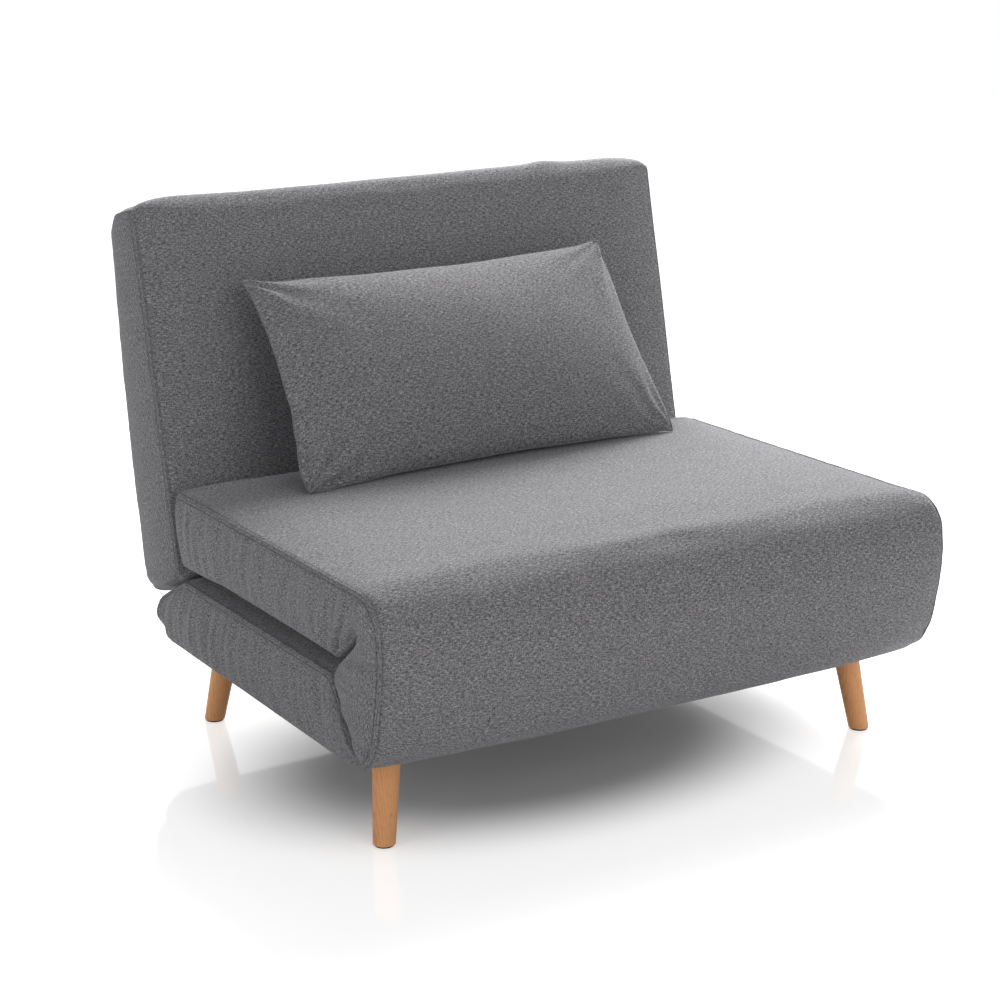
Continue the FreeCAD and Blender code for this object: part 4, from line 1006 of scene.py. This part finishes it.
class CHAIR_OT_pillow(bpy.types.Operator):
    """The loose pillow: two panels, full in the middle and thin at their seam, with drawn-in sides"""
    bl_idname = "chair.pillow"
    bl_label = "Pillow"

    def execute(self, context):
        sizes = context.scene.chair_sizes
        wide = sizes.pillow_points
        high = wide // 2
        corners = [np.array(c, float) for c in PILLOW_CORNERS]
        flat_normal = np.cross(corners[1] - corners[0], corners[3] - corners[0])
        flat_normal /= np.linalg.norm(flat_normal)
        across = (corners[1] - corners[0]) / np.linalg.norm(corners[1] - corners[0])
        upward = (corners[3] - corners[0]) / np.linalg.norm(corners[3] - corners[0])
        vertices, ids = [], {}
        for side in (1, -1):
            for row in range(high + 1):
                for column in range(wide + 1):
                    edge = row in (0, high) or column in (0, wide)
                    if edge and side == -1:
                        ids[side, row, column] = ids[1, row, column]
                        continue
                    u, v = column / wide, row / high
                    low = corners[0] * (1 - u) + corners[1] * u
                    top = corners[3] * (1 - u) + corners[2] * u
                    point = low * (1 - v) + top * v
                    pull_side = (19.0 - 7.0 * u) * math.sin(math.pi * v ** 1.25) * (2 * u - 1)
                    pull_top = 18.0 * math.sin(math.pi * u) ** 0.7 * (2 * v - 1)
                    point = point - across * pull_side - upward * (pull_top if v > 0.5 else pull_top * 0.7)
                    full = math.sin(math.pi * v ** 0.92) ** 0.60 * math.sin(math.pi * u) ** 0.55
                    front_share = 1.0 if side == 1 else 0.82
                    vertices.append(point + flat_normal * side * PILLOW_HALF * full * front_share)
                    ids[side, row, column] = len(vertices) - 1
        faces, weave = [], []
        for side in (1, -1):
            for row in range(high):
                for column in range(wide):
                    ring = [(row, column), (row, column + 1), (row + 1, column + 1), (row + 1, column)]
                    faces.append([ids[side, r, c] for r, c in ring])
                    shift = 0 if side == 1 else 0.5
                    weave.extend((c / wide * 0.66, r / high * 0.34 + shift) for r, c in ring)
        mesh = bpy.data.meshes.new("pillow")
        mesh.from_pydata([tuple(v * MM) for v in vertices], [], faces)
        mesh.uv_layers.new(name="weave").data.foreach_set("uv", np.array(weave, np.float32).ravel())
        outward_faces(mesh)
        thing = new_object("pillow", mesh)
        rim = [ids[1, 0, c] for c in range(wide + 1)]
        rim += [ids[1, r, wide] for r in range(1, high + 1)]
        rim += [ids[1, high, c] for c in range(wide - 1, -1, -1)]
        rim += [ids[1, r, 0] for r in range(high - 1, 0, -1)]
        swell(thing, rim, sizes.pressure * 0.6, 0.006)
        subdivided(thing)
        mesh = thing.data
        points = coordinates(mesh)
        move = 0.0016 * waves(points, (9, 9, 9), 31)
        for number, corner in enumerate(corners):
            away = points / MM - corner
            gap = np.linalg.norm(away, axis=1)
            turn = np.arctan2(away @ upward, away @ across)
            fold = np.sin(15 * turn + 2.6 * waves(points, (11, 11, 11), 35 + number))
            depth = PILLOW_CORNER_FOLDS[number] * MM
            move += depth * fold * np.exp(-(gap / 125) ** 2) * np.minimum(1, gap / 30)
        from_left = (points / MM - corners[0]) @ across
        near_left = np.exp(-(from_left / 75) ** 2) * np.minimum(1, from_left.clip(0) / 12)
        move += PILLOW_SIDE_FOLDS * near_left * waves(points, (5, 34, 34), 37)
        set_coordinates(mesh, points + point_normals(mesh) * move[:, None])
        dressed(thing)
        points = coordinates(mesh)[rim + [rim[0]]]
        outward = points - points.mean(axis=0)
        outward /= np.linalg.norm(outward, axis=1)[:, None]
        seam = seam_mesh("pillow_seam", [(points, outward)], 0.0012, 0.0005, -0.0004, 12.0)
        cord = new_object("pillow_seam", seam)
        dressed(cord)
        for piece in (thing, cord):
            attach(piece, "pillow")
        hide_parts("pillow_cover", "pillow_fill")
        return {"FINISHED"}


class CHAIR_OT_legs(bpy.types.Operator):
    """The turned beech legs and their glides"""
    bl_idname = "chair.legs"
    bl_label = "Legs"

    def execute(self, context):
        paint("leg_front_left leg_front_right leg_rear_left leg_rear_right", beech())
        paint("leg_glides", plain_finish("felt glide", (0.045, 0.042, 0.040), 0.85))
        return {"FINISHED"}


class CHAIR_OT_fittings(bpy.types.Operator):
    """Finishes of the frame, hinges, slats, straps and fold-out supports"""
    bl_idname = "chair.fittings"
    bl_label = "Frame and fittings"

    def execute(self, context):
        colours = context.scene.chair_colours
        wood = tuple(colours.timber)
        timber = plain_finish("planed timber", wood, 0.62, grain=(220, 14, 220), depth=0.0004)
        upright = plain_finish("upright timber", wood, 0.62, grain=(220, 220, 14), depth=0.0004)
        steel = plain_finish("coated steel", tuple(colours.steel), 0.42, grain=(900, 900, 900),
                             depth=0.00008)
        bright = plain_finish("zinc plated steel", (0.55, 0.55, 0.56), 0.34, 1.0, grain=(300, 300, 300))
        rubber = plain_finish("moulded rubber", (0.020, 0.020, 0.021), 0.8, grain=(700, 700, 700))
        slats = plain_finish("laminated birch", (0.60, 0.44, 0.25), 0.5, grain=(10, 260, 260), depth=0.0003)
        strap = plain_finish("elastic webbing", (0.045, 0.040, 0.036), 0.9, grain=(60, 900, 900),
                             depth=0.0004)
        paint("base_rail_left base_rail_right seat_rail_left seat_rail_right", timber)
        paint("base_rail_front base_rail_rear seat_rail_front seat_rail_rear back_rail_top"
              " back_rail_bottom front_board",
              plain_finish("cross rail timber", wood, 0.62, grain=(14, 220, 220), depth=0.0004))
        paint("back_stile_left back_stile_right", upright)
        paint("base_slats seat_slats", slats)
        paint("base_slat_caps seat_slat_caps",
              plain_finish("moulded cap", (0.022, 0.022, 0.023), 0.45))
        paint("back_webbing", strap)
        paint("front_hinge_bracket_left front_hinge_bracket_right ratchet_bracket_left"
              " ratchet_bracket_right ratchet_arm_left ratchet_arm_right front_link_left"
              " front_link_right seat_hinge_bracket_left seat_hinge_bracket_right support_brackets"
              " leg_plates support_leg_left support_leg_right", steel)
        paint("front_hinge_pins ratchet_pins seat_hinge_pins support_pins leg_studs", bright)
        paint("support_shoe_left support_shoe_right", rubber)
        return {"FINISHED"}


def paint(names, material):
    """Gives frame nodes a material"""
    for name in names.split():
        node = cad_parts[name]
        if not node.material_slots:
            raise RuntimeError("%s has no material slot" % name)
        for slot in node.material_slots:
            slot.material = material


class CHAIR_OT_stage(bpy.types.Operator):
    """Glossy pale floor, soft lights and the camera"""
    bl_idname = "chair.stage"
    bl_label = "Floor, lights and camera"

    def execute(self, context):
        scene = context.scene
        floor_mesh = bpy.data.meshes.new("floor")
        floor_mesh.from_pydata([(-9, -9, 0), (9, -9, 0), (9, 9, 0), (-9, 9, 0)], [], [(0, 1, 2, 3)])
        floor = new_object("floor", floor_mesh)
        floor_mesh.materials.append(floor_material(tuple(scene.chair_colours.floor)))
        set_world(scene)
        add_area("top_light", (1.5, 1.4, 2.4), (0.1, -0.1, 0.4), (2.2, 1.5), 135.0)
        add_area("front_fill", (0.2, -4.0, 1.9), (0.0, 0.0, 0.45), (2.6, 2.2), 26.0)
        add_area("side_fill", (-3.6, -0.6, 1.3), (0.0, 0.0, 0.4), (1.8, 1.8), 12.0)
        camera_data = bpy.data.cameras.new("camera")
        camera_data.lens = 78.87
        camera_data.sensor_width = 36.0
        camera = bpy.data.objects.new("camera", camera_data)
        camera.location = (-1.8011, -2.8871, 1.2962)
        camera.rotation_euler = (math.radians(74.7085), 0.0, math.radians(-31.4746))
        scene.collection.objects.link(camera)
        scene.camera = camera
        scene.view_settings.view_transform = "Standard"
        return {"FINISHED"}


# Painted shadow on the floor: the camera-ray emission that lifts the floor to white starts only outside an
# oval around the chair bed, so the floor inside the oval stays darker as a painted shadow: one over its
# half axes, and its shift
PAINTED_SHADOW_OVAL = (2.17, 3.33, 1)
PAINTED_SHADOW_SHIFT = (0.17, 0.40, 0)
GLOW_OUTSIDE_PAINTED_SHADOW = 0.62


def floor_material(colour):
    """White glossy floor: its own colour and gloss, lifted to white by an emission that only camera rays
    see, away from the chair, which leaves a painted shadow under the chair
    """
    s = Shader("glossy floor")
    place = s.coords.outputs["Object"]
    haze = s.noise(s.mapped(place, (3, 3, 3)), 1.0, 2.0)
    rough = s.ramp(haze, [(0.2, (0.05, 0.05, 0.05)), (0.8, (0.08, 0.08, 0.08))])
    s.finish(colour, rough, Specular_IOR_Level=0.9)
    # Painted shadow: the emission is zero inside this oval and rises smoothly to full strength outside it,
    # so the floor under the chair stays darker
    oval = s.mapped(place, PAINTED_SHADOW_OVAL, shift=PAINTED_SHADOW_SHIFT)
    away = s.add("ShaderNodeVectorMath", {"operation": "LENGTH"}, Vector=oval)
    edge = s.add("ShaderNodeMapRange", {"interpolation_type": "SMOOTHSTEP"}, Value=away.outputs["Value"],
                 From_Min=0.62, From_Max=1.30, To_Min=0.0, To_Max=GLOW_OUTSIDE_PAINTED_SHADOW)
    glow_outside_painted_shadow = s.add("ShaderNodeEmission", Color=(1, 1, 1, 1), Strength=edge.outputs["Result"])
    ray = s.add("ShaderNodeLightPath")
    nothing = s.add("ShaderNodeEmission", Color=(0, 0, 0, 1), Strength=0.0)
    # Only camera rays see the emission that lifts the floor and leaves the painted shadow
    lift = s.nodes.new("ShaderNodeMixShader")
    s.links.new(ray.outputs["Is Camera Ray"], lift.inputs[0])
    s.links.new(nothing.outputs[0], lift.inputs[1])
    s.links.new(glow_outside_painted_shadow.outputs[0], lift.inputs[2])
    total = s.nodes.new("ShaderNodeAddShader")
    s.links.new(s.surface.outputs[0], total.inputs[0])
    s.links.new(lift.outputs[0], total.inputs[1])
    s.links.new(total.outputs[0], s.nodes["Material Output"].inputs["Surface"])
    return s.material


def set_world(scene):
    world = bpy.data.worlds.new("studio")
    world.use_nodes = True
    nodes, links = world.node_tree.nodes, world.node_tree.links
    light = nodes["Background"]
    light.inputs["Color"].default_value = (1, 1, 1, 1)
    light.inputs["Strength"].default_value = 0.34
    seen = nodes.new("ShaderNodeBackground")
    seen.inputs["Color"].default_value = (1, 1, 1, 1)
    seen.inputs["Strength"].default_value = 1.0
    ray = nodes.new("ShaderNodeLightPath")
    glossy = nodes.new("ShaderNodeMath")
    glossy.operation = "MAXIMUM"
    clear = nodes.new("ShaderNodeMath")
    clear.operation = "MAXIMUM"
    links.new(ray.outputs["Is Camera Ray"], glossy.inputs[0])
    links.new(ray.outputs["Is Glossy Ray"], glossy.inputs[1])
    links.new(glossy.outputs[0], clear.inputs[0])
    links.new(ray.outputs["Is Transmission Ray"], clear.inputs[1])
    mix = nodes.new("ShaderNodeMixShader")
    links.new(clear.outputs[0], mix.inputs[0])
    links.new(light.outputs[0], mix.inputs[1])
    links.new(seen.outputs[0], mix.inputs[2])
    links.new(mix.outputs[0], nodes["World Output"].inputs["Surface"])
    scene.world = world


def add_area(name, place, target, size, power):
    light = bpy.data.lights.new(name, "AREA")
    light.shape = "RECTANGLE"
    light.size, light.size_y = size
    light.energy = power
    lamp = bpy.data.objects.new(name, light)
    lamp.location = place
    lamp.rotation_euler = (Vector(target) - Vector(place)).to_track_quat("-Z", "Y").to_euler()
    bpy.context.scene.collection.objects.link(lamp)


PIECES = (CHAIR_OT_seat_and_front, CHAIR_OT_base, CHAIR_OT_back, CHAIR_OT_pillow, CHAIR_OT_legs,
          CHAIR_OT_fittings, CHAIR_OT_stage)


class CHAIR_PT_panel(bpy.types.Panel):
    """Lists the pieces, sizes and colours of the chair bed"""
    bl_idname = "CHAIR_PT_panel"
    bl_label = "Chair bed"
    bl_space_type = "VIEW_3D"
    bl_region_type = "UI"
    bl_category = "Chair bed"

    def draw(self, context):
        for piece in PIECES:
            self.layout.operator(piece.bl_idname)
        for settings in (context.scene.chair_sizes, context.scene.chair_colours):
            column = self.layout.column()
            for key in settings.__annotations__:
                column.prop(settings, key)


CLASSES = (ChairSizes, ChairColours, *PIECES, CHAIR_PT_panel)


def register():
    for item in CLASSES:
        bpy.utils.register_class(item)
    bpy.types.Scene.chair_sizes = PointerProperty(type=ChairSizes)
    bpy.types.Scene.chair_colours = PointerProperty(type=ChairColours)


def unregister():
    del bpy.types.Scene.chair_sizes
    del bpy.types.Scene.chair_colours
    for item in reversed(CLASSES):
        bpy.utils.unregister_class(item)


def main():
    register()
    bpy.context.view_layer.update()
    for piece in PIECES:
        group, action = piece.bl_idname.split(".")
        getattr(getattr(bpy.ops, group), action)()


if __name__ == "__main__":
    main()
